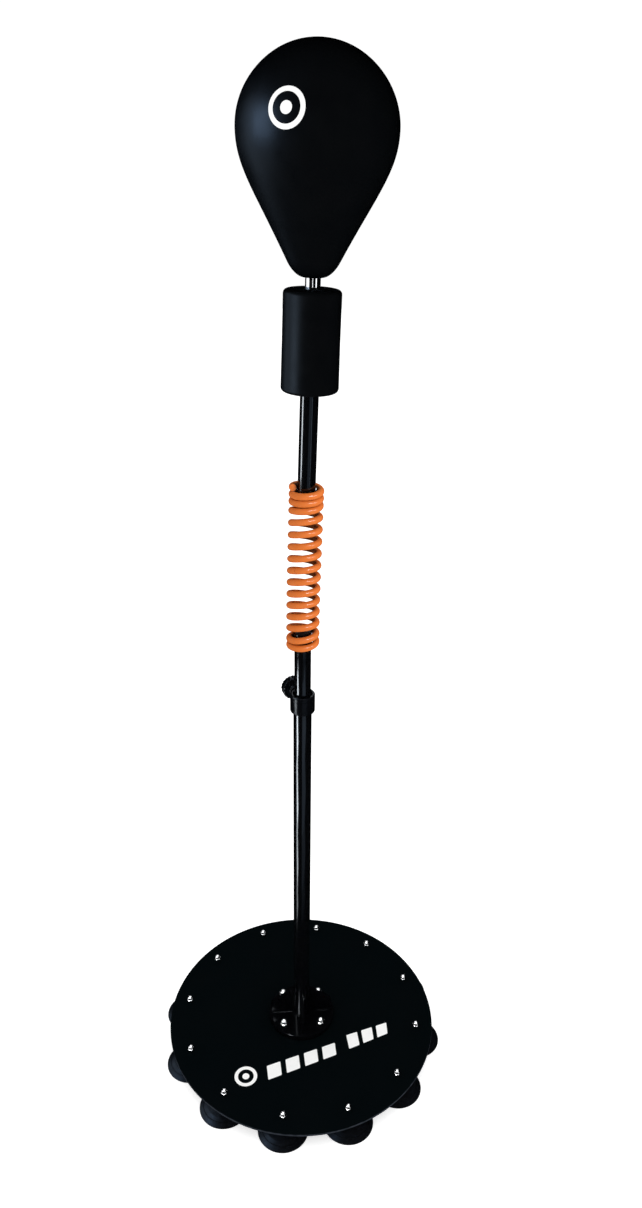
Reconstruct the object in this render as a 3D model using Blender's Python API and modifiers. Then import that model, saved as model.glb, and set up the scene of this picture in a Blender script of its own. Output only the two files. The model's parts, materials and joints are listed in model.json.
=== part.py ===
"""Free-standing reflex speed bag: a teardrop foam ball and a striking pad on a sprung mast.

A round steel base plate stands on twelve suction cups and carries a welded foot flange.  The mast
telescopes in the lower tube, is locked by a knob, and bends at a coil spring below the striking pad.
Metres, +Z up.  The origin is on the floor under the centre of the base plate.  The front is -Y.
"""

import math

import bmesh
import bpy
from mathutils import Matrix, Vector

GAP = 0.0003                      # clearance between pieces that touch
FULL_TURN = 2 * math.pi

# Base plate and suction cups
PLATE_RADIUS = 0.240
PLATE_THICKNESS = 0.004
PLATE_BOTTOM = 0.025
PLATE_TOP = PLATE_BOTTOM + PLATE_THICKNESS
PLATE_EDGE = 0.0006               # chamfer of the upper edge
CUP_COUNT = 12
CUP_CIRCLE = 0.2107
CUP_PHASE = math.radians(21.86)
CUP_RADIUS = 0.0425
CUP_LIP = 0.003                   # width of the flat sealing lip
CUP_LIP_HEIGHT = 0.001
CUP_NECK = 0.011
CUP_NECK_FOOT = (0.012, 0.020)    # radius and height where the neck meets the bell
CUP_BELL = (0.030, 0.0115)        # radius and height of the bend in the bell
CUP_HOLLOW = 0.009                # height of the hollow underside

# Fasteners: radius of the thread, across flats of the nut, height of the nut
M6_RADIUS = 0.003
M6_FLATS = 0.010
M6_NUT = 0.012
M8_RADIUS = 0.004
M8_FLATS = 0.013
M8_NUT = 0.015
THREAD_CLEARANCE = 0.0004
RIM_THREAD_END = PLATE_TOP + GAP + 0.008
NUT_HEXAGON = 0.55                # shares of a cap nut's height
NUT_DOME_RISE = 0.35
NUT_BORE = 0.75
NUT_DOME = 0.46                   # radius of the dome as a share of the flats
RIM_NUT_TURN = math.radians(17)   # each nut is tightened to an angle of its own
FLANGE_NUT_TURN = math.radians(23)
BOLT_THREAD_RISE = 0.010          # above the flange
BOLT_CHAMFER = 0.0005
BOLT_HEAD = 0.0082
BOLT_HEAD_EDGE = 0.003
BOLT_HEAD_HEIGHT = 0.0048
BOLT_CROWN = 0.006

# Foot flange with four gussets
FLANGE_RADIUS = 0.059
FLANGE_THICKNESS = 0.010
FLANGE_BOTTOM = PLATE_TOP + GAP
FLANGE_TOP = FLANGE_BOTTOM + FLANGE_THICKNESS
FLANGE_EDGE = 0.0012
FLANGE_TURN = math.radians(3.0)
BOLT_CIRCLE = 0.0465
BOLT_COUNT = 4
GUSSET_THICKNESS = 0.005
GUSSET_REACH = 0.0545
GUSSET_TALL = 0.058               # at the tube
GUSSET_LOW = 0.027                # at its outer end
GUSSET_CORNER = (0.003, 0.0015)   # clipped outer corner: inwards and upwards
GUSSET_ROOT = 0.003               # how far a gusset is let into the flange

# Telescoping mast
LOWER_TUBE_RADIUS = 0.0143
LOWER_TUBE_BORE = 0.0133
INNER_TUBE_RADIUS = 0.0127
INNER_TUBE_BORE = 0.0112
INNER_TUBE_BOTTOM = 0.400
INNER_TUBE_TOP = 0.822
BUSH_RADIUS = 0.0130
BUSH_LENGTH = 0.015
BUSH_SPIGOT = 0.020
PLUG_SPIGOT = 0.012
PLUG_CAP = 0.003
PLUG_EDGE = 0.001
COLLAR_BOTTOM = 0.686
COLLAR_TOP = 0.717
COLLAR_RADIUS = 0.01925
COLLAR_SHOULDER = 0.709           # the lower tube stops here
COLLAR_ROUND = 0.0025
COLLAR_DISH_RADIUS = 0.0145
COLLAR_DISH_DEPTH = 0.003

# Locking knob
LOCK_AZIMUTH = math.radians(108.0)
LOCK_HEIGHT = 0.7015
KNOB_RADIUS = 0.0190
KNOB_THICKNESS = 0.014
KNOB_INNER_FACE = 0.040
KNOB_LOBES = 20
KNOB_GRIP_DEPTH = 0.0009
KNOB_POINTS_PER_LOBE = 3
KNOB_CAP_RADIUS = 0.0125
KNOB_CAP_CROWN = (0.0080, 0.0016)
KNOB_CAP_RISE = 0.002
KNOB_HUB_RADIUS = 0.0085
KNOB_HUB_LENGTH = 0.006
KNOB_BITE = 0.002                 # how far the cap and the hub run into the knob
BOSS_RADIUS = 0.0075
BOSS_END = 0.0275
BOSS_BITE = 0.003                 # how far the boss runs into the collar
SCREW_HOLE = (0.005, 0.050)
TIP_RADIUS = 0.0034
TIP_LENGTH = 0.003
TIP_CHAMFER = 0.0004

# Coil spring: right-handed, with close coils at both ends
WIRE_RADIUS = 0.0050
COIL_RADIUS = 0.0200
SPRING_FOOT = 0.7992              # centre of the wire at its lower end
SPRING_START = math.radians(57.0)
CLOSE_PITCH = 0.01035
OPEN_PITCH = 0.01839
FOOT_TURNS = 1.45
OPEN_TURNS = 11.35
HEAD_TURNS = 2.59
PITCH_EASE = 0.5                  # turns over which the pitch changes
TURN_TILT = math.radians(11.7)    # the open turns lie tilted, higher at the front than at the back
TILT_FROM = 1.65                  # turns at which half of the tilt has come, and has gone again
TILT_TO = 12.45
POINTS_PER_TURN = 14
END_STEP = 0.010                  # turns
HALF_CUT = 0.0035                 # half the gap left where the spring is cut, in turns
SEAT_RADIUS = 0.0140              # sleeves that centre the spring's close coils on the tubes
LOWER_SEAT = (0.799, 0.8205)
UPPER_SEAT = (1.025, 1.047)

# The two bending stations of the spring, and the mast's slight lean above the lower one
LOWER_BEND = 0.8622
UPPER_BEND = 0.9888
LEAN = math.radians(1.4)
LEAN_HALF_LENGTH = 0.045

# Head: levels are measured along the mast from the floor
UPPER_TUBE_RADIUS = 0.0127
UPPER_TUBE_BORE = 0.01055
UPPER_TUBE_BOTTOM = 1.0235
UPPER_TUBE_TOP = 1.250
PAD_BOTTOM = 1.1826
PAD_TOP = 1.3125
PAD_TOP_RADIUS = 0.0379
PAD_BOTTOM_RADIUS = 0.0387
PAD_TOP_ROUND = 0.005
PAD_BOTTOM_ROUND = 0.004
POST_RADIUS = 0.01025
POST_BORE = 0.0085
POST_BOTTOM = 1.200
POST_TOP = 1.440
SOCKET_RADIUS = 0.0160
SOCKET_BOTTOM = 1.340
SOCKET_TOP = 1.445
SOCKET_EDGE = 0.002

# Ball: two curved flanks meet at the equator, and the tapering lower flank ends in a small rounded foot
BALL_BOTTOM = 1.3268
BALL_TOP = 1.5889
BALL_EQUATOR = 1.4953
BALL_RADIUS = 0.0984
BALL_CROWN_REACH = 0.0550         # handle lengths of the upper flank
BALL_SHOULDER_REACH = 0.0491
BALL_FLANK_REACH = 0.0439         # handle lengths of the lower flank
BALL_TAPER_REACH = 0.0926
BALL_TAPER_SLOPE = 0.519
BALL_TAPER_RADIUS = 0.0334        # where the taper meets the rounded foot
BALL_TAPER_END = 1.3450
BALL_FOOT_RADIUS = 0.0120
BALL_FOOT_HANDLES = ((0.0284, 1.3355), (0.0200, 1.3268))
BALL_FLANK_STEPS = 7


def clear_scene():
    for obj in list(bpy.data.objects):
        bpy.data.objects.remove(obj, do_unlink=True)


def new_collection(name, hidden=False):
    collection = bpy.data.collections.new(name)
    bpy.context.scene.collection.children.link(collection)
    collection.hide_render = hidden
    return collection


clear_scene()
PARTS = new_collection("reflex_speed_bag")
CUTTERS = new_collection("cutters", hidden=True)


def material(name, colour, roughness, metallic=0.0, coat=0.0):
    made = bpy.data.materials.new(name)
    made.use_nodes = True
    shader = made.node_tree.nodes["Principled BSDF"]
    shader.inputs["Base Color"].default_value = (*colour, 1.0)
    shader.inputs["Roughness"].default_value = roughness
    shader.inputs["Metallic"].default_value = metallic
    shader.inputs["Coat Weight"].default_value = coat
    return made


BLACK_COAT = material("black_powder_coat", (0.012, 0.013, 0.014), 0.22, coat=0.6)
PLATE_COAT = material("plate_powder_coat", (0.014, 0.016, 0.018), 0.38)
ORANGE_COAT = material("orange_spring_coat", (0.90, 0.22, 0.03), 0.32, coat=0.3)
CHROME = material("chrome_plate", (0.80, 0.81, 0.83), 0.08, metallic=1.0)
STEEL = material("zinc_steel", (0.55, 0.55, 0.56), 0.35, metallic=1.0)
FOAM_SKIN = material("foam_skin", (0.020, 0.022, 0.025), 0.50)
CUP_RUBBER = material("cup_rubber", (0.018, 0.018, 0.019), 0.55)
BLACK_PLASTIC = material("black_plastic", (0.016, 0.016, 0.017), 0.45)
BRASS = material("brass", (0.70, 0.50, 0.22), 0.30, metallic=1.0)


def add_object(name, data, finish=None, collection=PARTS):
    obj = bpy.data.objects.new(name, data)
    collection.objects.link(obj)
    if finish:
        data.materials.append(finish)
    return obj


def empty(name, parent=None, location=(0, 0, 0), rotation=(0, 0, 0)):
    obj = bpy.data.objects.new(name, None)
    obj.empty_display_size = 0.03
    obj.parent = parent
    obj.location = location
    obj.rotation_euler = rotation
    PARTS.objects.link(obj)
    return obj


def round_shading(mesh, sharp_degrees=35):
    mesh.shade_smooth()
    mesh.set_sharp_from_angle(angle=math.radians(sharp_degrees))


def turned(name, profile, finish=None, steps=24, ring=False, collection=PARTS):
    """A shape turned about Z.  The profile of (radius, height) runs down its outer side; a ring's closes."""
    mesh = bpy.data.meshes.new(name)
    shape = bmesh.new()
    corners = [shape.verts.new((radius, 0, height)) for radius, height in profile]
    for first, second in zip(corners, corners[1:]):
        shape.edges.new((first, second))
    if ring:
        shape.edges.new((corners[-1], corners[0]))
    shape.to_mesh(mesh)
    shape.free()
    obj = add_object(name, mesh, finish, collection)
    screw = obj.modifiers.new("turn", "SCREW")
    screw.steps = steps
    screw.render_steps = steps
    screw.use_merge_vertices = True
    screw.merge_threshold = 0.00001
    screw.use_smooth_shade = True
    return obj


def prism(name, radius, bottom, top, sides, finish=None, collection=PARTS, turn=0.0):
    """An upright cylinder or prism whose corners lie at the radius."""
    mesh = bpy.data.meshes.new(name)
    shape = bmesh.new()
    place = Matrix.Translation((0, 0, (bottom + top) / 2)) @ Matrix.Rotation(turn, 4, "Z")
    bmesh.ops.create_cone(shape, cap_ends=True, segments=sides, radius1=radius, radius2=radius,
                          depth=top - bottom, matrix=place)
    shape.to_mesh(mesh)
    shape.free()
    return add_object(name, mesh, finish, collection)


def sheet_outline(name, outline, thickness, collection=PARTS):
    """A flat plate in the XZ plane, centred on Y, from a closed outline of (x, z)."""
    curve = bpy.data.curves.new(name, "CURVE")
    curve.dimensions = "2D"
    curve.fill_mode = "BOTH"
    curve.extrude = thickness / 2
    spline = curve.splines.new("POLY")
    spline.points.add(len(outline) - 1)
    for point, (x, z) in zip(spline.points, outline):
        point.co = (x, z, 0, 1)
    spline.use_cyclic_u = True
    drawn = add_object(name, curve, collection=collection)
    drawn.rotation_euler = (math.pi / 2, 0, 0)
    return as_mesh(drawn, collection)


def as_mesh(obj, collection=PARTS):
    """Replaces an object by a plain mesh of its evaluated shape, with loose caps welded."""
    bpy.context.view_layer.update()
    name = obj.name
    graph = bpy.context.evaluated_depsgraph_get()
    mesh = bpy.data.meshes.new_from_object(obj.evaluated_get(graph))
    mesh.transform(obj.matrix_world)
    bpy.data.objects.remove(obj, do_unlink=True)
    shape = bmesh.new()
    shape.from_mesh(mesh)
    bmesh.ops.remove_doubles(shape, verts=shape.verts, dist=0.000001)
    shape.to_mesh(mesh)
    shape.free()
    made = bpy.data.objects.new(name, mesh)
    collection.objects.link(made)
    return made


def boolean(obj, other, operation):
    modifier = obj.modifiers.new(operation.lower(), "BOOLEAN")
    modifier.operation = operation
    modifier.object = other
    modifier.solver = "EXACT"


def keep_as_cutter(obj):
    for collection in list(obj.users_collection):
        collection.objects.unlink(obj)
    CUTTERS.objects.link(obj)
    obj.hide_render = True
    obj.display_type = "WIRE"
    return obj


def joined(name, objects):
    """One object from separate closed shapes that don't overlap."""
    shape = bmesh.new()
    bpy.context.view_layer.update()
    for obj in objects:
        obj.data.transform(obj.matrix_world)
        shape.from_mesh(obj.data)
        bpy.data.objects.remove(obj, do_unlink=True)
    mesh = bpy.data.meshes.new(name)
    shape.to_mesh(mesh)
    shape.free()
    return add_object(name, mesh)


def arc(centre, radius, start_degrees, end_degrees, steps):
    """Points of a profile along an arc; 0 degrees points outwards and 90 up."""
    points = []
    for step in range(steps + 1):
        angle = math.radians(start_degrees + (end_degrees - start_degrees) * step / steps)
        points.append((centre[0] + radius * math.cos(angle), centre[1] + radius * math.sin(angle)))
    return points


def flank(start, start_handle, end_handle, end, steps):
    """Points along a cubic curve from start to end."""
    corners = [Vector(corner) for corner in (start, start_handle, end_handle, end)]
    points = []
    for step in range(steps + 1):
        t = step / steps
        weights = ((1 - t) ** 3, 3 * t * (1 - t) ** 2, 3 * t * t * (1 - t), t ** 3)
        total = sum((corner * weight for corner, weight in zip(corners, weights)), Vector((0, 0)))
        points.append((total.x, total.y))
    return points


def tube_profile(radius, bore, bottom, top):
    return [(radius, top), (radius, bottom), (bore, bottom), (bore, top)]


def around(count, radius, phase):
    """Points evenly spaced on a circle, as (x, y, angle)."""
    for index in range(count):
        angle = phase + index * FULL_TURN / count
        yield radius * math.cos(angle), radius * math.sin(angle), angle


# ---------------------------------------------------------------- base


def base_plate():
    plate = turned("base_plate", [
        (0, PLATE_THICKNESS), (PLATE_RADIUS - PLATE_EDGE, PLATE_THICKNESS),
        (PLATE_RADIUS, PLATE_THICKNESS - PLATE_EDGE),
        (PLATE_RADIUS, 0), (0, 0),
    ], PLATE_COAT, steps=72)
    plate.location.z = PLATE_BOTTOM
    drills = []
    for x, y, _ in around(CUP_COUNT, CUP_CIRCLE, CUP_PHASE):
        drill = prism("drill", M6_RADIUS + THREAD_CLEARANCE, 0, 2 * PLATE_TOP, 10)
        drill.location = (x, y, 0)
        drills.append(drill)
    for x, y, _ in around(BOLT_COUNT, BOLT_CIRCLE, FLANGE_TURN + math.pi / 4):
        drill = prism("drill", M8_RADIUS + THREAD_CLEARANCE, 0, 2 * PLATE_TOP, 10)
        drill.location = (x, y, 0)
        drills.append(drill)
    boolean(plate, keep_as_cutter(joined("plate_drills", drills)), "DIFFERENCE")


def cup_mesh():
    """A suction cup with a flat sealing lip, a hollow underside and a threaded stud moulded into its neck."""
    neck_top = PLATE_BOTTOM - GAP
    cup = turned("cup", [
        (0, RIM_THREAD_END), (M6_RADIUS, RIM_THREAD_END), (M6_RADIUS, neck_top), (CUP_NECK, neck_top),
        CUP_NECK_FOOT, CUP_BELL, (CUP_RADIUS, CUP_LIP_HEIGHT), (CUP_RADIUS, 0),
        (CUP_RADIUS - CUP_LIP, 0), (0, CUP_HOLLOW),
    ], CUP_RUBBER, steps=16)
    return as_mesh(cup)


def acorn_nut(name, flats, height, thread_radius):
    """A domed cap nut with a blind bore, standing on z = 0."""
    hexagon_height = NUT_HEXAGON * height
    dome_radius = NUT_DOME * flats
    dome_rise = NUT_DOME_RISE * height
    dome_foot = hexagon_height - GAP
    nut = prism(name, flats / 2 / math.cos(math.pi / 6), 0, hexagon_height, 6)
    crown = [(dome_radius * math.sin(math.radians(a)), height - dome_rise * (1 - math.cos(math.radians(a))))
             for a in (0, 30, 60, 90)]
    dome = turned("dome", [*crown, (dome_radius, dome_foot), (0, dome_foot)], steps=12)
    boolean(nut, keep_as_cutter(dome), "UNION")
    bore = prism("bore", thread_radius + THREAD_CLEARANCE, -GAP, NUT_BORE * height, 8)
    boolean(nut, keep_as_cutter(bore), "DIFFERENCE")
    made = as_mesh(nut)
    for helper in (dome, bore):
        bpy.data.objects.remove(helper, do_unlink=True)
    return made


def cups_and_rim_nuts():
    cup = cup_mesh()
    nut = acorn_nut("nut", M6_FLATS, M6_NUT, M6_RADIUS)
    nut.data.materials.append(CHROME)
    round_shading(cup.data)
    round_shading(nut.data, 25)
    for index, (x, y, angle) in enumerate(around(CUP_COUNT, CUP_CIRCLE, CUP_PHASE), start=1):
        cup_copy = add_object(f"suction_cup_{index:02d}", cup.data)
        cup_copy.location = (x, y, 0)
        cup_copy.rotation_euler.z = angle
        nut_copy = add_object(f"rim_nut_{index:02d}", nut.data)
        nut_copy.location = (x, y, PLATE_TOP + GAP)
        nut_copy.rotation_euler.z = angle + index * RIM_NUT_TURN
    for template in (cup, nut):
        bpy.data.objects.remove(template, do_unlink=True)


def foot_flange():
    flange = turned("foot_flange", [
        (0, FLANGE_THICKNESS), (FLANGE_RADIUS - FLANGE_EDGE, FLANGE_THICKNESS),
        (FLANGE_RADIUS, FLANGE_THICKNESS - FLANGE_EDGE),
        (FLANGE_RADIUS, 0), (0, 0),
    ], BLACK_COAT, steps=48)
    flange.location.z = FLANGE_BOTTOM
    inner = LOWER_TUBE_RADIUS + GAP
    root = FLANGE_TOP - GUSSET_ROOT
    low = FLANGE_TOP + GUSSET_LOW
    for index in range(BOLT_COUNT):
        gusset = sheet_outline(f"gusset_{index + 1}", [
            (inner, root), (GUSSET_REACH, root), (GUSSET_REACH, low),
            (GUSSET_REACH - GUSSET_CORNER[0], low + GUSSET_CORNER[1]), (inner, FLANGE_TOP + GUSSET_TALL),
        ], GUSSET_THICKNESS)
        gusset.rotation_euler.z = FLANGE_TURN + index * math.pi / 2
        boolean(flange, keep_as_cutter(gusset), "UNION")
    drills = []
    for x, y, _ in around(BOLT_COUNT, BOLT_CIRCLE, FLANGE_TURN + math.pi / 4):
        drill = prism("drill", M8_RADIUS + THREAD_CLEARANCE, 0, 2 * FLANGE_TOP, 10)
        drill.location = (x, y, 0)
        drills.append(drill)
    boolean(flange, keep_as_cutter(joined("flange_drills", drills)), "DIFFERENCE")


def flange_fasteners():
    """Bolts up through the plate and the flange, each with an acorn nut on top."""
    head_top = PLATE_BOTTOM - GAP
    tip = FLANGE_TOP + GAP + BOLT_THREAD_RISE
    nut = acorn_nut("nut", M8_FLATS, M8_NUT, M8_RADIUS)
    nut.data.materials.append(CHROME)
    round_shading(nut.data, 25)
    bolt = turned("bolt", [
        (0, tip), (M8_RADIUS - BOLT_CHAMFER, tip), (M8_RADIUS, tip - BOLT_CHAMFER), (M8_RADIUS, head_top),
        (BOLT_HEAD, head_top), (BOLT_HEAD, head_top - BOLT_HEAD_EDGE),
        (BOLT_CROWN, head_top - BOLT_HEAD_HEIGHT), (0, head_top - BOLT_HEAD_HEIGHT),
    ], STEEL, steps=12)
    bolt = as_mesh(bolt)
    round_shading(bolt.data)
    for index, (x, y, angle) in enumerate(around(BOLT_COUNT, BOLT_CIRCLE, FLANGE_TURN + math.pi / 4), start=1):
        bolt_copy = add_object(f"flange_bolt_{index}", bolt.data)
        bolt_copy.location = (x, y, 0)
        nut_copy = add_object(f"flange_nut_{index}", nut.data)
        nut_copy.location = (x, y, FLANGE_TOP + GAP)
        nut_copy.rotation_euler.z = angle + index * FLANGE_NUT_TURN
    for template in (bolt, nut):
        bpy.data.objects.remove(template, do_unlink=True)


# ---------------------------------------------------------------- telescoping mast and its lock


def radial_axis(name):
    """An empty on the mast's axis at the lock's height, whose Z points out along the locking screw."""
    return empty(name, location=(0, 0, LOCK_HEIGHT), rotation=(0, math.pi / 2, LOCK_AZIMUTH))


def lower_tube_and_collar(lock_axis):
    screw_hole = prism("screw_hole", M8_RADIUS + THREAD_CLEARANCE, *SCREW_HOLE, 10)
    screw_hole.parent = lock_axis
    keep_as_cutter(screw_hole)

    profile = tube_profile(LOWER_TUBE_RADIUS, LOWER_TUBE_BORE, FLANGE_TOP + GAP, COLLAR_SHOULDER - GAP)
    tube = turned("lower_tube", profile, BLACK_COAT, steps=24, ring=True)
    boolean(tube, screw_hole, "DIFFERENCE")

    upper = arc((COLLAR_RADIUS - COLLAR_ROUND, COLLAR_TOP - COLLAR_ROUND), COLLAR_ROUND, 90, 0, 2)
    lower = arc((COLLAR_RADIUS - COLLAR_ROUND, COLLAR_BOTTOM + COLLAR_ROUND), COLLAR_ROUND, 0, -90, 2)
    tube_seat = LOWER_TUBE_RADIUS + GAP
    collar = turned("clamp_collar", [
        *upper, *lower, (tube_seat, COLLAR_BOTTOM), (tube_seat, COLLAR_SHOULDER),
        (LOWER_TUBE_BORE, COLLAR_SHOULDER), (LOWER_TUBE_BORE, COLLAR_TOP - COLLAR_DISH_DEPTH),
        (COLLAR_DISH_RADIUS, COLLAR_TOP),
    ], BLACK_PLASTIC, steps=24, ring=True)
    boss = prism("boss", BOSS_RADIUS, COLLAR_RADIUS - BOSS_BITE, BOSS_END, 16)
    boss.parent = lock_axis
    boolean(collar, keep_as_cutter(boss), "UNION")
    boolean(collar, screw_hole, "DIFFERENCE")


def lock_knob(lock_axis):
    """A lobed hand knob on a screw that presses a brass tip against the inner tube."""
    tip_start = INNER_TUBE_RADIUS + GAP
    tip = turned("lock_tip", [
        (0, TIP_LENGTH), (TIP_RADIUS, TIP_LENGTH), (TIP_RADIUS, TIP_CHAMFER),
        (TIP_RADIUS - TIP_CHAMFER, 0), (0, 0),
    ], BRASS, steps=14)
    tip.location.z = tip_start
    tip.parent = lock_axis

    screw_start = tip_start + TIP_LENGTH + GAP
    hub_start = KNOB_INNER_FACE - KNOB_HUB_LENGTH
    knob_end = KNOB_INNER_FACE + KNOB_THICKNESS
    outline = []
    points = KNOB_LOBES * KNOB_POINTS_PER_LOBE
    for index in range(points):
        angle = index * FULL_TURN / points
        radius = KNOB_RADIUS - KNOB_GRIP_DEPTH * (1 - math.cos(KNOB_LOBES * angle)) / 2
        outline.append((radius * math.cos(angle), radius * math.sin(angle)))
    grip = sheet_outline("lock_knob", outline, KNOB_THICKNESS)
    grip.data.transform(Matrix.Rotation(-math.pi / 2, 4, "X"))
    grip.data.transform(Matrix.Translation((0, 0, (KNOB_INNER_FACE + knob_end) / 2)))
    grip.data.materials.append(BLACK_PLASTIC)
    grip.parent = lock_axis
    cap = turned("knob_cap", [
        (0, knob_end + KNOB_CAP_RISE), (KNOB_CAP_CROWN[0], knob_end + KNOB_CAP_CROWN[1]),
        (KNOB_CAP_RADIUS, knob_end), (KNOB_CAP_RADIUS, knob_end - KNOB_BITE), (0, knob_end - KNOB_BITE),
    ], steps=24)
    stem = turned("knob_stem", [
        (0, KNOB_INNER_FACE + KNOB_BITE), (KNOB_HUB_RADIUS, KNOB_INNER_FACE + KNOB_BITE),
        (KNOB_HUB_RADIUS, hub_start), (M8_RADIUS, hub_start), (M8_RADIUS, screw_start), (0, screw_start),
    ], steps=24)
    for helper in (cap, stem):
        helper.parent = lock_axis
        boolean(grip, keep_as_cutter(helper), "UNION")


def inner_tube(slide):
    profile = tube_profile(INNER_TUBE_RADIUS, INNER_TUBE_BORE, INNER_TUBE_BOTTOM, INNER_TUBE_TOP)
    tube = turned("inner_tube", profile, BLACK_COAT, steps=24, ring=True)
    spigot = INNER_TUBE_BORE - GAP
    bush_top = INNER_TUBE_BOTTOM - GAP
    bush = turned("inner_tube_bush", [
        (0, bush_top + BUSH_SPIGOT), (spigot, bush_top + BUSH_SPIGOT), (spigot, bush_top),
        (BUSH_RADIUS, bush_top), (BUSH_RADIUS, bush_top - BUSH_LENGTH), (0, bush_top - BUSH_LENGTH),
    ], BLACK_PLASTIC, steps=24)
    plug_bottom = INNER_TUBE_TOP + GAP
    plug = turned("tube_plug_lower", [
        (0, plug_bottom + PLUG_CAP), (INNER_TUBE_RADIUS - PLUG_EDGE, plug_bottom + PLUG_CAP),
        (INNER_TUBE_RADIUS, plug_bottom + PLUG_CAP - PLUG_EDGE), (INNER_TUBE_RADIUS, plug_bottom),
        (spigot, plug_bottom), (spigot, plug_bottom - PLUG_SPIGOT), (0, plug_bottom - PLUG_SPIGOT),
    ], BLACK_PLASTIC, steps=24)
    seat = turned("spring_seat_lower", tube_profile(SEAT_RADIUS, INNER_TUBE_RADIUS + GAP, *LOWER_SEAT),
                  BLACK_COAT, steps=24, ring=True)
    for piece in (tube, bush, plug, seat):
        piece.parent = slide
        piece.location.z = -COLLAR_TOP


# ---------------------------------------------------------------- coil spring


def eased(turns):
    """Turns past a change of pitch, eased in over PITCH_EASE turns."""
    half = PITCH_EASE / 2
    if turns <= -half:
        return 0.0
    if turns >= half:
        return turns
    return (turns + half) ** 2 / (2 * PITCH_EASE)


def smooth_step(share):
    share = min(max(share, 0.0), 1.0)
    return share * share * (3 - 2 * share)


def wire_point(turn):
    """Centre of the wire this many turns above its lower end, on a straight mast."""
    open_turns = eased(turn - FOOT_TURNS) - eased(turn - FOOT_TURNS - OPEN_TURNS)
    height = SPRING_FOOT + CLOSE_PITCH * turn + (OPEN_PITCH - CLOSE_PITCH) * open_turns
    angle = SPRING_START + turn * FULL_TURN
    tilted = smooth_step(turn - TILT_FROM + 0.5) * smooth_step(TILT_TO - turn + 0.5)
    x = COIL_RADIUS * math.cos(angle)
    y = COIL_RADIUS * math.sin(angle)
    return Vector((x, y, height - y * math.tan(TURN_TILT) * tilted))


def leaning(point):
    """Where a point of the straight mast lies once the spring's lower station leans."""
    start = LOWER_BEND - LEAN_HALF_LENGTH
    share = (point.z - start) / (2 * LEAN_HALF_LENGTH)
    if share >= 1:
        turn = Matrix.Rotation(LEAN, 3, "Y")
        pivot = Vector((0, 0, LOWER_BEND))
        return turn @ (point - pivot) + pivot
    share = max(share, 0.0)
    sideways = LEAN * share * share * LEAN_HALF_LENGTH
    tilt = LEAN * share
    return Vector((sideways + point.x * math.cos(tilt), point.y, point.z - point.x * math.sin(tilt)))


def turns_at(height):
    """The turn at which the wire's centre reaches this height, found by halving."""
    low, high = 0.0, FOOT_TURNS + OPEN_TURNS + HEAD_TURNS
    for _ in range(40):
        middle = (low + high) / 2
        if wire_point(middle).z < height:
            low = middle
        else:
            high = middle
    return low


def spring_piece(name, start, end, parent):
    """A length of the wire.  Its first and last steps are short, so that the cut ends face along the wire."""
    steps = math.ceil((end - start) * POINTS_PER_TURN)
    inner = [start + (end - start) * index / steps for index in range(1, steps)]
    turns = [start, start + END_STEP, *inner, end - END_STEP, end]
    curve = bpy.data.curves.new(name, "CURVE")
    curve.dimensions = "3D"
    curve.bevel_depth = WIRE_RADIUS
    curve.bevel_resolution = 2
    curve.use_fill_caps = True
    spline = curve.splines.new("POLY")
    spline.points.add(len(turns) - 1)
    for point, turn in zip(spline.points, turns):
        point.co = (*leaning(wire_point(turn)), 1)
    piece = add_object(name, curve, ORANGE_COAT)
    bpy.context.view_layer.update()
    piece.parent = parent
    piece.matrix_parent_inverse = parent.matrix_world.inverted()


def spring(slide, lower_bend, upper_bend):
    """The spring in three pieces, cut where it bends, so that each rides with one part of the mast."""
    lower_cut = turns_at(LOWER_BEND)
    upper_cut = turns_at(UPPER_BEND)
    total = FOOT_TURNS + OPEN_TURNS + HEAD_TURNS
    spring_piece("spring_bottom", 0.0, lower_cut - HALF_CUT, slide)
    spring_piece("spring_middle", lower_cut + HALF_CUT, upper_cut - HALF_CUT, lower_bend)
    spring_piece("spring_top", upper_cut + HALF_CUT, total, upper_bend)


# ---------------------------------------------------------------- head


def head(upper_bend):
    profile = tube_profile(UPPER_TUBE_RADIUS, UPPER_TUBE_BORE, UPPER_TUBE_BOTTOM, UPPER_TUBE_TOP)
    tube = turned("upper_tube", profile, BLACK_COAT, steps=24, ring=True)
    plug_top = UPPER_TUBE_BOTTOM - GAP
    spigot = UPPER_TUBE_BORE - GAP
    plug = turned("tube_plug_upper", [
        (0, plug_top + PLUG_SPIGOT), (spigot, plug_top + PLUG_SPIGOT), (spigot, plug_top),
        (UPPER_TUBE_RADIUS, plug_top), (UPPER_TUBE_RADIUS, plug_top - PLUG_CAP + PLUG_EDGE),
        (UPPER_TUBE_RADIUS - PLUG_EDGE, plug_top - PLUG_CAP), (0, plug_top - PLUG_CAP),
    ], BLACK_PLASTIC, steps=24)
    seat = turned("spring_seat_upper", tube_profile(SEAT_RADIUS, UPPER_TUBE_RADIUS + GAP, *UPPER_SEAT),
                  BLACK_COAT, steps=24, ring=True)
    post = turned("chrome_post", tube_profile(POST_RADIUS, POST_BORE, POST_BOTTOM, POST_TOP),
                  CHROME, steps=24, ring=True)
    post_fit = POST_RADIUS + GAP
    socket = turned("ball_socket", [
        (0, SOCKET_TOP), (SOCKET_RADIUS - SOCKET_EDGE, SOCKET_TOP),
        (SOCKET_RADIUS, SOCKET_TOP - SOCKET_EDGE), (SOCKET_RADIUS, SOCKET_BOTTOM),
        (post_fit, SOCKET_BOTTOM), (post_fit, POST_TOP + GAP), (0, POST_TOP + GAP),
    ], BLACK_PLASTIC, steps=24)
    for piece in (tube, plug, seat, post, socket, foam_pad(post_fit), ball(post_fit)):
        piece.parent = upper_bend
        piece.location.z = -UPPER_BEND


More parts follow.
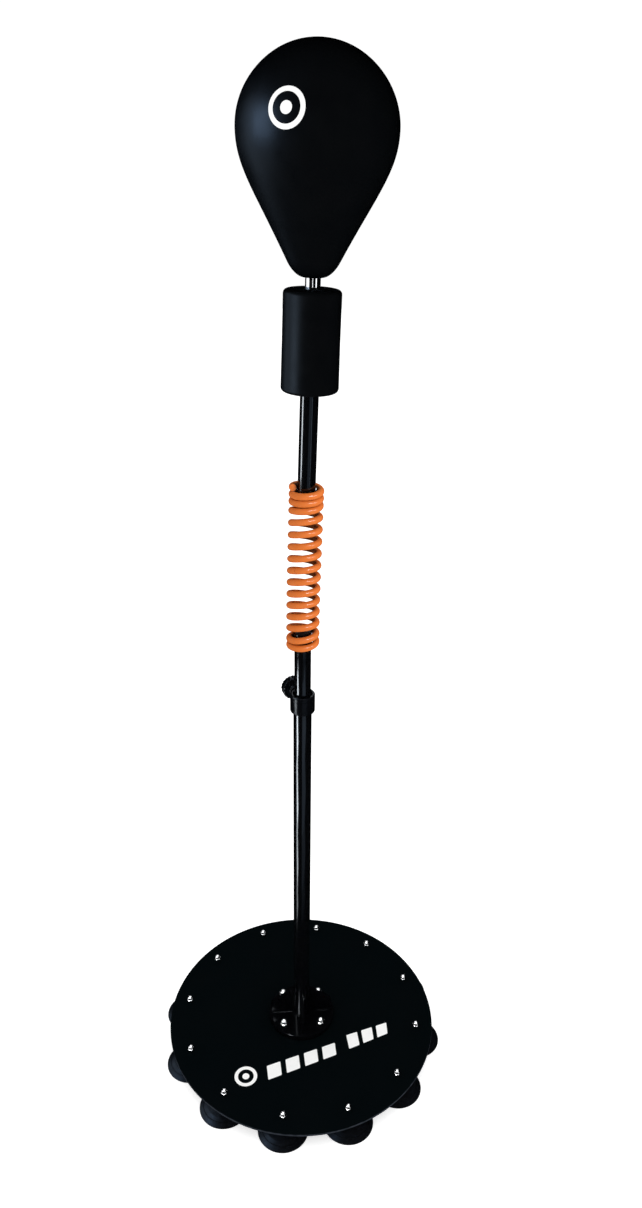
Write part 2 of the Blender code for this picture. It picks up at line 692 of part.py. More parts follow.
def foam_pad(post_fit):
    """A foam sleeve with rounded rims, bored for the tube below and the post above."""
    top_centre = (PAD_TOP_RADIUS - PAD_TOP_ROUND, PAD_TOP - PAD_TOP_ROUND)
    bottom_centre = (PAD_BOTTOM_RADIUS - PAD_BOTTOM_ROUND, PAD_BOTTOM + PAD_BOTTOM_ROUND)
    upper = arc(top_centre, PAD_TOP_ROUND, 90, 0, 2)
    lower = arc(bottom_centre, PAD_BOTTOM_ROUND, 0, -90, 2)
    tube_fit = UPPER_TUBE_RADIUS + GAP
    return turned("foam_pad", [
        *upper, *lower, (tube_fit, PAD_BOTTOM), (tube_fit, UPPER_TUBE_TOP + GAP),
        (post_fit, UPPER_TUBE_TOP + GAP), (post_fit, PAD_TOP),
    ], FOAM_SKIN, steps=24, ring=True)


def ball(post_fit):
    """The teardrop ball, moulded round its socket."""
    equator = (BALL_RADIUS, BALL_EQUATOR)
    crown = flank((0, BALL_TOP), (BALL_CROWN_REACH, BALL_TOP),
                  (BALL_RADIUS, BALL_EQUATOR + BALL_SHOULDER_REACH), equator, BALL_FLANK_STEPS)
    along = Vector((BALL_TAPER_SLOPE, 1)).normalized() * BALL_TAPER_REACH
    taper_end = (BALL_TAPER_RADIUS, BALL_TAPER_END)
    taper = flank(equator, (BALL_RADIUS, BALL_EQUATOR - BALL_FLANK_REACH),
                  (BALL_TAPER_RADIUS + along.x, BALL_TAPER_END + along.y), taper_end, BALL_FLANK_STEPS)
    foot = flank(taper_end, *BALL_FOOT_HANDLES, (BALL_FOOT_RADIUS, BALL_BOTTOM), 3)
    fit = SOCKET_RADIUS + GAP
    return turned("ball", [
        *crown, *taper[1:], *foot[1:], (post_fit, BALL_BOTTOM), (post_fit, SOCKET_BOTTOM - GAP),
        (fit, SOCKET_BOTTOM - GAP), (fit, SOCKET_TOP + GAP), (0, SOCKET_TOP + GAP),
    ], FOAM_SKIN, steps=32)


def build():
    lock_axis = radial_axis("lock_axis")
    slide = empty("height_slide", location=(0, 0, COLLAR_TOP))
    lower_bend = empty("lower_bend", slide, (0, 0, LOWER_BEND - COLLAR_TOP), (0, LEAN, 0))
    upper_bend = empty("upper_bend", lower_bend, (0, 0, UPPER_BEND - LOWER_BEND))
    base_plate()
    cups_and_rim_nuts()
    foot_flange()
    flange_fasteners()
    lower_tube_and_collar(lock_axis)
    lock_knob(lock_axis)
    inner_tube(slide)
    spring(slide, lower_bend, upper_bend)
    head(upper_bend)


build()
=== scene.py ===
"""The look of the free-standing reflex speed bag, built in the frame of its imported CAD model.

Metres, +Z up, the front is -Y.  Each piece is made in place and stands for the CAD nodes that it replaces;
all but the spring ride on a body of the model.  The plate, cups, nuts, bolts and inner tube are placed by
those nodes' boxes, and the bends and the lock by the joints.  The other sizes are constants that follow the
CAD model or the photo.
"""

import json
import math

import bmesh
import bpy
from mathutils import Matrix, Vector, noise
from mathutils.bvhtree import BVHTree

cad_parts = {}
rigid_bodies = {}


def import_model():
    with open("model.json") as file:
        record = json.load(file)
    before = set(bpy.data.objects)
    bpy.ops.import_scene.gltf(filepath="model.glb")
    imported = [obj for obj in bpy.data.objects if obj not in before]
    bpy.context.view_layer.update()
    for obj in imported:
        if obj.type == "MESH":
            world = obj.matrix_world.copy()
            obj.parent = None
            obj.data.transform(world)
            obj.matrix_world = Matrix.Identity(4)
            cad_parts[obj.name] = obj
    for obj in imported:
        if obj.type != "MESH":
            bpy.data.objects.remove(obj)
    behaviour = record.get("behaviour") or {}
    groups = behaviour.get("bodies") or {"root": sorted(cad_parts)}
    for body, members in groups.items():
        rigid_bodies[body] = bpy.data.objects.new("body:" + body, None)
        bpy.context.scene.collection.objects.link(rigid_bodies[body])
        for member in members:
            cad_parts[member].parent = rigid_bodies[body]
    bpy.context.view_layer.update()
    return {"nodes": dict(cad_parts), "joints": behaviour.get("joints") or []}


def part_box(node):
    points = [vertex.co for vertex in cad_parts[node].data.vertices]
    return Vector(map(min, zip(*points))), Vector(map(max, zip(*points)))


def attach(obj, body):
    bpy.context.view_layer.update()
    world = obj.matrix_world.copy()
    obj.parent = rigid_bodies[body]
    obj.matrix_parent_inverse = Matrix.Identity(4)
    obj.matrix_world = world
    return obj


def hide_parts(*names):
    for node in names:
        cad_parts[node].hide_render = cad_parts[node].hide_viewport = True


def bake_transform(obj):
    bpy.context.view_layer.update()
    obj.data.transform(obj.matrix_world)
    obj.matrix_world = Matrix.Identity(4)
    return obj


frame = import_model()

GAP = 0.0003                      # clearance between pieces that touch
FULL_TURN = 2 * math.pi
FLOOR_RADIUS = 9.0
FLOOR_DROP = 0.0002               # the floor lies this far below the cups' lips
FLOOR_GLOW = 0.55
WORLD_STRENGTH = 1.04

# Camera of the photograph
CAMERA_PLACE = Vector((0.0, -1.2608, 1.4693))
CAMERA_DOWN = math.radians(25.4454)
CAMERA_YAW = math.radians(1.209)
CAMERA_ROLL = math.radians(0.7196)
CAMERA_LENS = 28.29               # millimetres on a sensor 36 mm tall

# The bending stations and the locking screw, from the joints
JOINTS = {joint["name"]: joint for joint in frame["joints"]}
LOWER_BEND = Vector(JOINTS["bend_sideways"]["pos_m"])
UPPER_BEND = Vector(JOINTS["bend_fore_aft"]["pos_m"])
LEAN = math.atan2(UPPER_BEND.x - LOWER_BEND.x, UPPER_BEND.z - LOWER_BEND.z)
LEANING = Matrix.Translation(LOWER_BEND) @ Matrix.Rotation(LEAN, 4, "Y") @ Matrix.Translation(-LOWER_BEND)
LOCK_AXIS = Vector(JOINTS["lock_knob_turn"]["axis"])
LOCK_PLACE = Vector(JOINTS["lock_knob_turn"]["pos_m"])
ALONG_LOCK = (Matrix.Translation(LOCK_PLACE) @ Matrix.Rotation(math.atan2(LOCK_AXIS.y, LOCK_AXIS.x), 4, "Z")
              @ Matrix.Rotation(math.pi / 2, 4, "Y"))

# Base
PLATE_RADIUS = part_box("base_plate")[1].x
PLATE_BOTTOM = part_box("base_plate")[0].z
PLATE_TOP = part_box("base_plate")[1].z
CUP_RADIUS = 0.0425
FLANGE_RADIUS = 0.059
FLANGE_BOTTOM = PLATE_TOP + GAP
FLANGE_TOP = 0.0393
FLANGE_TURN = math.radians(3.0)
GUSSET_HALF = 0.0025
GUSSET_REACH = 0.0545
GUSSET_TALL = 0.058
GUSSET_LOW = 0.027
M6_FLATS = 0.01
M8_FLATS = 0.013
NUT_SIDES = 48
BEAD_STEP = 0.00045
BEAD_SIDES = 10
BEAD_RIPPLE = 0.0034
BEAD_GRAIN = 160

# Mast
TUBE_RADIUS = 0.0143
TUBE_BORE = 0.0133
INNER_RADIUS = 0.0127
INNER_BORE = 0.0112
COLLAR_RADIUS = 0.01925
COLLAR_BOTTOM = 0.686
COLLAR_TOP = 0.717
COLLAR_SHOULDER = 0.709
KNOB_RADIUS = 0.019
KNOB_INNER_FACE = 0.04
KNOB_OUTER_FACE = 0.054
KNOB_LOBES = 20
SCREW_RADIUS = 0.0036
SCREW_END = 0.0163
SCREW_PITCH = 0.00125             # M8
THREAD_STEPS = 24                 # to a turn
THREAD_LENGTH = 0.0165

# Spring
WIRE_RADIUS = 0.005
COIL_RADIUS = 0.02
WIRE_SIDES = 28
WIRE_STEPS = 56                   # to a turn
SPRING_FOOT = 0.7992
SPRING_START = math.radians(57.0)
CLOSE_PITCH = 0.01035
OPEN_PITCH = 0.01839
FOOT_TURNS = 1.45
OPEN_TURNS = 11.35
HEAD_TURNS = 2.59
PITCH_EASE = 0.5
TURN_TILT = math.radians(11.7)
TILT_FROM = 1.65
TILT_TO = 12.45
LEAN_HALF_LENGTH = 0.045
BETWEEN_BENDS = 0.9255

# Head, measured along the mast
UPPER_TUBE_BOTTOM = 1.0235
UPPER_TUBE_TOP = 1.25
UPPER_TUBE_BORE = 0.01055
PAD_BOTTOM = 1.1826
PAD_TOP = 1.3125
PAD_TOP_RADIUS = 0.0379
PAD_BOTTOM_RADIUS = 0.0387
POST_RADIUS = 0.01025
POST_BORE = 0.0085
POST_BOTTOM = 1.2
POST_TOP = 1.44
SOCKET_RADIUS = 0.016
SOCKET_BOTTOM = 1.34
SOCKET_TOP = 1.445
BALL_BOTTOM = 1.3268
BALL_TOP = 1.5889
BALL_EQUATOR = 1.4953
BALL_RADIUS = 0.0984
BALL_FOOT_RADIUS = 0.012
BALL_SIDES = 144

# Prints; a ring and dot is its outer radius, its inner radius and the radius of its dot
PRINT_LIFT = 0.00012
BALL_PRINT_LIFT = 0.00014
BALL_PRINT_SIZES = (0.022, 0.0165, 0.007)
BALL_PRINT_AZIMUTH = math.radians(-112.1)
BALL_PRINT_REACH = 0.0965
BALL_PRINT_HEIGHT = 1.5129
PLATE_PRINT_SIZES = (0.0195, 0.0135, 0.006)
PLATE_PRINT_CENTRE = Vector((-0.0955, -0.1309, 0.0))
BAR_START = 0.02                  # a bar's ends and its lean are shares of its pitch
BAR_END = 0.74
BAR_SLANT = 0.13

# Colours and light
COAT_BLACK = (0.0014, 0.0016, 0.0022)
COAT_PATCHES = ((0.001, 0.0012, 0.0018), (0.0018, 0.002, 0.0026))
WHITE = (1.0, 1.0, 1.0)
# Reach, length and radiance of each step of a strip on the floor
FLOOR_STEPS = ((1.4, 0.64, 15.0), (0.87, 0.42, 10.5), (0.53, 0.26, 5.5), (0.34, 0.12, 2.0))
COOL_WHITE = (0.86, 0.93, 1.0)
SKY_BLUE = (0.58, 0.76, 1.0)
DEEP_BLUE = (0.42, 0.64, 1.0)
INNER_SHADE_MASK = "inward"                 # mesh attribute of the spring: 1 where its surface faces the mast; it masks the shade painted on the wire's inner faces


# ------------------------ materials


def feed(material, socket, value):
    """Links a node's output to the socket, or sets the socket's value (a colour's without its alpha)."""
    if isinstance(value, bpy.types.NodeSocket):
        material.node_tree.links.new(value, socket)
    else:
        socket.default_value = (*value, 1.0) if socket.type == "RGBA" else value


def new_material(name, colour, roughness, metallic=0.0, specular=0.5, coat=0.0, coat_roughness=0.1):
    made = bpy.data.materials.new(name)
    made.use_nodes = True
    shader = made.node_tree.nodes["Principled BSDF"]
    values = {"Base Color": colour, "Roughness": roughness, "Metallic": metallic,
              "Specular IOR Level": specular, "Coat Weight": coat, "Coat Roughness": coat_roughness}
    for name, value in values.items():
        feed(made, shader.inputs[name], value)
    return made


def add_node(material, kind, settings=None, inputs=None):
    """A new node; an input that is given a socket is linked to it."""
    made = material.node_tree.nodes.new(kind)
    for name, value in (settings or {}).items():
        setattr(made, name, value)
    for name, value in (inputs or {}).items():
        feed(material, made.inputs[name], value)
    return made


def places(material, size, stretch=(1.0, 1.0, 1.0)):
    """Object coordinates scaled so that one unit is a grain of this size."""
    coordinates = add_node(material, "ShaderNodeTexCoord")
    scale = tuple(part / size for part in stretch)
    mapping = add_node(material, "ShaderNodeMapping", inputs={
        "Vector": coordinates.outputs["Object"], "Scale": scale})
    return mapping.outputs["Vector"]


def mottle(material, size, detail=3.0, stretch=(1.0, 1.0, 1.0)):
    texture = add_node(material, "ShaderNodeTexNoise", inputs={
        "Vector": places(material, size, stretch), "Scale": 1.0, "Detail": detail})
    return texture.outputs["Fac"]


def cells(material, size, feature="F1"):
    texture = add_node(material, "ShaderNodeTexVoronoi", {"feature": feature}, {
        "Vector": places(material, size), "Scale": 1.0})
    return texture.outputs["Distance"]


def spread(material, value, low, high, start=0.3, end=0.7):
    mapped = add_node(material, "ShaderNodeMapRange", inputs={
        "Value": value, "From Min": start, "From Max": end, "To Min": low, "To Max": high})
    return mapped.outputs["Result"]


def combined(material, operation, first, second):
    made = add_node(material, "ShaderNodeMath", {"operation": operation, "use_clamp": operation == "ADD"})
    for index, value in enumerate((first, second)):
        feed(material, made.inputs[index], value)
    return made.outputs["Value"]


def blended_colour(material, factor, first, second):
    """One colour fading to another; the first may come from another node."""
    made = add_node(material, "ShaderNodeMix", {"data_type": "RGBA"})
    material.node_tree.links.new(factor, made.inputs["Factor"])
    for index, value in ((6, first), (7, second)):
        feed(material, made.inputs[index], value)
    return made.outputs[2]


def rim_highlight_band(material):
    """1 on the rim of the base plate, where a lighter blue-grey is painted on as a highlight."""
    coordinates = add_node(material, "ShaderNodeTexCoord")
    split = add_node(material, "ShaderNodeSeparateXYZ", inputs={"Vector": coordinates.outputs["Object"]})
    across = add_node(material, "ShaderNodeCombineXYZ", inputs={
        "X": split.outputs["X"], "Y": split.outputs["Y"]})
    radius = add_node(material, "ShaderNodeVectorMath", {"operation": "LENGTH"}, {
        "Vector": across.outputs["Vector"]})
    band_wobble = combined(material, "MULTIPLY", mottle(material, 0.009), 0.0009)
    reach = combined(material, "SUBTRACT", radius.outputs["Value"], band_wobble)
    return spread(material, reach, 0.0, 1.0, PLATE_RADIUS - 0.0009, PLATE_RADIUS - 0.0004)


def worn_edges(material, start, end):
    """0 on flat ground and 1 on sharp outer edges."""
    geometry = add_node(material, "ShaderNodeNewGeometry")
    return spread(material, geometry.outputs["Pointiness"], 0.0, 1.0, start, end)


def shade(material, colour=None, roughness=None, bumps=()):
    """Links what varies over the surface to the shader.  A bump is (height, strength, depth in metres)."""
    shader = material.node_tree.nodes["Principled BSDF"]
    links = material.node_tree.links
    if colour:
        links.new(colour, shader.inputs["Base Color"])
    if roughness:
        links.new(roughness, shader.inputs["Roughness"])
    normal = None
    for height, strength, depth in bumps:
        made = add_node(material, "ShaderNodeBump", inputs={
            "Height": height, "Strength": strength, "Distance": depth})
        if normal:
            links.new(normal, made.inputs["Normal"])
        normal = made.outputs["Normal"]
    if normal:
        links.new(normal, shader.inputs["Normal"])
    return material


def plate_coat():
    """Satin black powder coat: a fine sandy grain, cloudy gloss, light scuffs and a painted highlight along
    the rim.
    """
    made = new_material("plate_powder_coat", (0.0009, 0.0027, 0.0036), 0.55, specular=0.03)
    clouds = mottle(made, 0.06)
    scuffs = spread(made, mottle(made, 0.0014, 2.0, (0.12, 1.0, 1.0)), 0.0, 1.0, 0.7, 0.78)
    colour = blended_colour(made, clouds, (0.0007, 0.0024, 0.0031), (0.0012, 0.0032, 0.0042))
    colour = blended_colour(made, scuffs, colour, (0.0022, 0.0044, 0.0056))
    # painted highlight: a lighter blue-grey band along the plate's rim
    colour = blended_colour(made, rim_highlight_band(made), colour, (0.028, 0.033, 0.043))
    roughness = spread(made, combined(made, "ADD", clouds, scuffs), 0.34, 0.52)
    return shade(made, colour, roughness, [
        (mottle(made, 0.00055, 4.0), 0.3, 0.00012), (mottle(made, 0.0035), 0.1, 0.0003)])


def mast_coat(name, specular, coat):
    """Glossy black coat on steel: orange peel, hazy patches and a few specks of dust."""
    made = new_material(name, COAT_BLACK, 0.14, specular=specular, coat=coat, coat_roughness=0.04)
    patches = mottle(made, 0.018)
    dust = spread(made, cells(made, 0.005), 1.0, 0.0, 0.03, 0.06)
    colour = blended_colour(made, patches, *COAT_PATCHES)
    colour = blended_colour(made, dust, colour, (0.016, 0.017, 0.02))
    return shade(made, colour, spread(made, patches, 0.11, 0.18), [
        (mottle(made, 0.0026, 2.0), 0.06, 0.00016), (mottle(made, 0.0005), 0.03, 0.00006)])


def sliding_coat():
    """The inner tube's gloss coat, with faint rub lines along it where it slides."""
    made = new_material("sliding_tube_coat", COAT_BLACK, 0.14, specular=0.5, coat=0.5, coat_roughness=0.04)
    patches = mottle(made, 0.016)
    rubs = spread(made, mottle(made, 0.0009, 3.0, (1.0, 1.0, 0.02)), 0.0, 1.0, 0.62, 0.74)
    colour = blended_colour(made, patches, *COAT_PATCHES)
    colour = blended_colour(made, rubs, colour, (0.005, 0.006, 0.007))
    roughness = combined(made, "ADD", spread(made, patches, 0.1, 0.17),
                         combined(made, "MULTIPLY", rubs, 0.1))
    return shade(made, colour, roughness, [
        (mottle(made, 0.0026, 2.0), 0.05, 0.00016), (rubs, 0.06, 0.00003)])


def spring_coat():
    """Orange powder coat: orange peel and specks, and painted shade: a darker brown where the wire faces the
    mast.
    """
    made = new_material("orange_spring_coat", (0.6, 0.15, 0.028), 0.38, specular=0.14,
                        coat=0.38, coat_roughness=0.12)
    patches = mottle(made, 0.012)
    specks = spread(made, cells(made, 0.0028), 1.0, 0.0, 0.04, 0.09)
    facing = add_node(made, "ShaderNodeAttribute", {"attribute_name": INNER_SHADE_MASK})
    ragged = combined(made, "MULTIPLY", mottle(made, 0.0012, 3.0), 0.5)
    painted_inner_shade = spread(made, combined(made, "ADD", facing.outputs["Fac"], ragged), 0.0, 1.0, 0.45, 0.95)
    colour = blended_colour(made, patches, (0.55, 0.128, 0.019), (0.63, 0.16, 0.029))
    colour = blended_colour(made, specks, colour, (0.27, 0.058, 0.011))
    # painted shade: dark brown on the wire's faces towards the mast, where the coils shade each other
    colour = blended_colour(made, painted_inner_shade, colour, (0.15, 0.04, 0.01))
    return shade(made, colour, spread(made, patches, 0.28, 0.44), [
        (mottle(made, 0.0011, 3.0), 0.4, 0.00024), (mottle(made, 0.0003), 0.15, 0.00008)])


def chrome(name, size, stretch, low, high):
    """Bright chrome with polishing lines, hazy patches and tiny pits."""
    made = new_material(name, (0.8, 0.81, 0.83), low, metallic=1.0)
    lines = mottle(made, size, 4.0, stretch)
    haze = mottle(made, 0.012)
    pits = spread(made, cells(made, 0.0022), 1.0, 0.0, 0.02, 0.05)
    colour = blended_colour(made, haze, (0.74, 0.76, 0.79), (0.86, 0.87, 0.88))
    colour = blended_colour(made, pits, colour, (0.42, 0.42, 0.43))
    roughness = spread(made, combined(made, "MULTIPLY", lines, haze), low, high, 0.15, 0.4)
    return shade(made, colour, roughness, [(lines, 0.05, 0.00005), (pits, 0.1, 0.00004)])


def zinc_steel():
    """Zinc-plated bolt steel with its patchy yellow-grey spangle."""
    made = new_material("zinc_plated_steel", (0.52, 0.52, 0.5), 0.36, metallic=1.0)
    spangle = cells(made, 0.002)
    colour = blended_colour(made, spangle, (0.46, 0.46, 0.45), (0.62, 0.61, 0.56))
    return shade(made, colour, spread(made, mottle(made, 0.003), 0.26, 0.46), [
        (mottle(made, 0.0004), 0.2, 0.00008)])


def brass():
    """Turned brass with fine rings and a dull bloom."""
    made = new_material("turned_brass", (0.68, 0.47, 0.19), 0.3, metallic=1.0)
    bloom = mottle(made, 0.0015)
    colour = blended_colour(made, bloom, (0.58, 0.38, 0.14), (0.74, 0.53, 0.24))
    return shade(made, colour, spread(made, bloom, 0.22, 0.42), [(mottle(made, 0.0002), 0.15, 0.00005)])


def black_plastic():
    """Moulded black plastic: spark-eroded grain, slightly greyer on worn edges."""
    made = new_material("moulded_black_plastic", (0.0016, 0.0019, 0.0028), 0.18, specular=0.15)
    flow = mottle(made, 0.01, 2.0, (1.0, 1.0, 0.4))
    colour = blended_colour(made, flow, (0.0012, 0.0015, 0.0022), (0.0022, 0.0026, 0.0036))
    colour = blended_colour(made, worn_edges(made, 0.52, 0.6), colour, (0.012, 0.013, 0.015))
    return shade(made, colour, spread(made, flow, 0.14, 0.22), [
        (cells(made, 0.00045), 0.08, 0.00005), (flow, 0.05, 0.00016)])


def cup_rubber():
    """Black rubber: pebbled skin, faint flow rings, a grey bloom, and bluish specks that are partly dust and
    partly a painted sheen.
    """
    made = new_material("cup_rubber", (0.0016, 0.002, 0.0032), 0.4, specular=0.22)
    bloom = mottle(made, 0.0075, 4.0)
    specks = spread(made, mottle(made, 0.0011, 3.0), 0.0, 1.0, 0.56, 0.68)
    colour = blended_colour(made, bloom, (0.001, 0.0013, 0.0022), (0.003, 0.0038, 0.0062))
    # bluish specks: dust, and a painted sheen
    colour = blended_colour(made, specks, colour, (0.0085, 0.012, 0.022))
    return shade(made, colour, spread(made, bloom, 0.32, 0.5), [
        (cells(made, 0.0009), 0.4, 0.0002), (mottle(made, 0.005), 0.15, 0.0004)])


def foam_skin():
    """The soft skin of moulded foam: a fine leathery grain over slow dents, and a patchy satin sheen."""
    made = new_material("moulded_foam_skin", (0.0016, 0.0021, 0.0028), 0.36, specular=0.09)
    patches = mottle(made, 0.03)
    grain = cells(made, 0.00085, "SMOOTH_F1")
    pores = spread(made, cells(made, 0.0042), 1.0, 0.0, 0.03, 0.07)
    colour = blended_colour(made, patches, (0.0012, 0.0017, 0.0024), (0.0024, 0.003, 0.0038))
    colour = blended_colour(made, pores, colour, (0.006, 0.007, 0.0085))
    return shade(made, colour, spread(made, patches, 0.33, 0.42), [
        (mottle(made, 0.016, 2.0), 0.1, 0.001), (grain, 0.22, 0.00012), (pores, 0.15, 0.0001)])


def print_ink():
    """Off-white printed ink, thin in places, so that the skin below shows through its pinholes."""
    made = new_material("off_white_print", (0.93, 0.93, 0.92), 0.55, specular=0.25)
    thin = spread(made, mottle(made, 0.0012, 4.0), 0.0, 1.0, 0.64, 0.76)
    clouds = mottle(made, 0.012)
    colour = blended_colour(made, clouds, (0.88, 0.89, 0.88), (0.98, 0.98, 0.97))
    colour = blended_colour(made, thin, colour, (0.6, 0.61, 0.61))
    return shade(made, colour, spread(made, clouds, 0.48, 0.64), [(mottle(made, 0.00045), 0.2, 0.00006)])


def pale_floor():
    """A pale studio floor with the faintest cloudiness."""
    made = new_material("pale_studio_floor", (0.86, 0.86, 0.86), 0.75, specular=0.1)
    shader = made.node_tree.nodes["Principled BSDF"]
    shader.inputs["Emission Color"].default_value = (*WHITE, 1.0)
    shader.inputs["Emission Strength"].default_value = FLOOR_GLOW
    colour = blended_colour(made, mottle(made, 0.8), (0.855, 0.855, 0.858), (0.87, 0.87, 0.87))
    return shade(made, colour, None, [(mottle(made, 0.004), 0.05, 0.0003)])


PLATE_COAT = plate_coat()
MAST_COAT = mast_coat("mast_gloss_coat", 0.5, 0.5)
FOOT_COAT = mast_coat("foot_gloss_coat", 0.16, 0.1)
SLIDING_COAT = sliding_coat()
SPRING_COAT = spring_coat()
POST_CHROME = chrome("chrome_post_plate", 0.0006, (1.0, 1.0, 0.05), 0.05, 0.13)
NUT_CHROME = chrome("chrome_nut_plate", 0.0005, (1.0, 1.0, 0.4), 0.08, 0.2)
ZINC_STEEL = zinc_steel()
BRASS = brass()
BLACK_PLASTIC = black_plastic()
CUP_RUBBER = cup_rubber()
FOAM_SKIN = foam_skin()
PRINT_INK = print_ink()


# ------------------------ mesh helpers


def rounded(corners, steps=4):
    """A profile from corners of (radius, height) or (radius, height, fillet); a fillet becomes an arc."""
    points = []
    for index, (radius, height, *fillet) in enumerate(corners):
        here = Vector((radius, height))
        if not fillet:
            points.append((radius, height))
            continue
        to_before = (Vector(corners[index - 1][:2]) - here).normalized()
        to_after = (Vector(corners[(index + 1) % len(corners)][:2]) - here).normalized()
        half = to_before.angle(to_after) / 2
        centre = here + (to_before + to_after).normalized() * (fillet[0] / math.sin(half))
        reach = fillet[0] / math.tan(half)
        start = here + to_before * reach - centre
        end = here + to_after * reach - centre
        for step in range(steps + 1):
            spoke = start.lerp(end, step / steps).normalized() * fillet[0]
            points.append((centre.x + spoke.x, centre.y + spoke.y))
    return points


def curve_points(start, start_handle, end_handle, end, steps):
    """Points along a cubic curve, without its first one."""
    corners = [Vector(corner) for corner in (start, start_handle, end_handle, end)]
    points = []
    for step in range(1, steps + 1):
        t = step / steps
        weights = ((1 - t) ** 3, 3 * t * (1 - t) ** 2, 3 * t * t * (1 - t), t ** 3)
        total = sum((corner * weight for corner, weight in zip(corners, weights)), Vector((0, 0)))
        points.append((total.x, total.y))
    return points


def even_angles(sides):
    return [index * FULL_TURN / sides for index in range(sides)]


def lathe(shape, profile, angles, place=None, ring=False, mould=None):
    """Adds a turned surface.  mould(radius, height, angle) gives the radius that a point really has."""
    place = place or Matrix.Identity(4)
    rings = []
    for radius, height in profile:
        if radius < 1e-7:
            rings.append([shape.verts.new(place @ Vector((0, 0, height)))])
            continue
        row = []
        for angle in angles:
            reach = mould(radius, height, angle) if mould else radius
            row.append(shape.verts.new(place @ polar(reach, angle, height)))
        rings.append(row)
    skin(shape, rings + rings[:1] if ring else rings)


def skin(shape, rings):
    """Quads between neighbouring closed rings of corners; a ring of one corner is a tip."""
    for first, second in zip(rings, rings[1:]):
        for index in range(max(len(first), len(second))):
            following = index + 1
            corners = (first[index % len(first)], first[following % len(first)],
                       second[following % len(second)], second[index % len(second)])
            face = list(dict.fromkeys(corners))
            if len(face) > 2:
                shape.faces.new(face)


def sweep(shape, path, radii, sides):
    """Adds a round bar along a path, closed by a flat cap at both ends."""
    rings = []
    side = Vector((0.3, 0.2, 1.0))
    for index, point in enumerate(path):
        along = (path[min(index + 1, len(path) - 1)] - path[max(index - 1, 0)]).normalized()
        side = (side - along * side.dot(along)).normalized()
        across = along.cross(side)
        rings.append([shape.verts.new(point + (side * math.cos(a) + across * math.sin(a)) * radii[index])
                      for a in even_angles(sides)])
    skin(shape, [[shape.verts.new(path[0])], *rings, [shape.verts.new(path[-1])]])


def piece(name, shape, finish, body, stands_for=(), sharp=38):
    """Makes the shape an object in place, with smooth shading that breaks at sharp edges."""
    bmesh.ops.recalc_face_normals(shape, faces=shape.faces)
    mesh = bpy.data.meshes.new(name)
    shape.to_mesh(mesh)
    shape.free()
    mesh.shade_smooth()
    mesh.set_sharp_from_angle(angle=math.radians(sharp))
    mesh.materials.append(finish)
    obj = bpy.data.objects.new(name, mesh)
    bpy.context.scene.collection.objects.link(obj)
    if body:
        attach(obj, body)
    if stands_for:
        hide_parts(*stands_for)
    return obj


def centre_of(node):
    low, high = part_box(node)
    return (low + high) / 2


def polar(radius, angle, height):
    return Vector((radius * math.cos(angle), radius * math.sin(angle), height))


# ------------------------ base


def fine_plate():
    shape = bmesh.new()
    lathe(shape, rounded([
        (0, PLATE_TOP), (PLATE_RADIUS - 0.03, PLATE_TOP), (PLATE_RADIUS, PLATE_TOP, 0.0009),
        (PLATE_RADIUS, PLATE_BOTTOM, 0.0006), (PLATE_RADIUS - 0.03, PLATE_BOTTOM), (0, PLATE_BOTTOM),
    ]), even_angles(224))
    piece("coated_plate", shape, PLATE_COAT, "base", ["base_plate"], sharp=60)


def suction_cup(number):
    """One cup: a moulded neck with a groove, a ribbed bell, a flat sealing lip and a hollow underside."""
    node = f"suction_cup_{number:02d}"
    middle = centre_of(node)
    neck_top = PLATE_BOTTOM - GAP
    stud_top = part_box(node)[1].z
    profile = rounded([
        (0, stud_top), (0.003, stud_top, 0.0005), (0.003, neck_top), (0.011, neck_top, 0.0008),
        (0.011, 0.0226, 0.0003), (0.0101, 0.0219, 0.0004), (0.0101, 0.0208, 0.0004),
        (0.0122, 0.0199, 0.001), (0.02, 0.0162, 0.001), (0.0206, 0.0166, 0.0004),
        (0.0218, 0.0154, 0.0006), (0.03, 0.0115, 0.006), (0.0352, 0.0071, 0.0008),
        (0.036, 0.0072, 0.0004), (0.037, 0.0056, 0.0006), (0.0418, 0.0018, 0.0006),
        (CUP_RADIUS, 0.0012, 0.0003), (CUP_RADIUS, 0, 0.0003), (CUP_RADIUS - 0.003, 0, 0.0004),
        (0.03, 0.0062, 0.004), (0.012, 0.0086, 0.004), (0, 0.0088),
    ], steps=3)
    turn = math.atan2(middle.y, middle.x)
    place = Matrix.Translation((middle.x, middle.y, 0)) @ Matrix.Rotation(turn, 4, "Z")
    shape = bmesh.new()
    lathe(shape, profile, even_angles(72), place)
    piece(f"rubber_cup_{number:02d}", shape, CUP_RUBBER, "base", [node])


def corner_angle(node):
    """The angle at which the CAD nut has one of its six corners."""
    middle = centre_of(node)
    farthest = max(frame["nodes"][node].data.vertices,
                   key=lambda vertex: (vertex.co.x - middle.x) ** 2 + (vertex.co.y - middle.y) ** 2)
    return math.atan2(farthest.co.y - middle.y, farthest.co.x - middle.x)


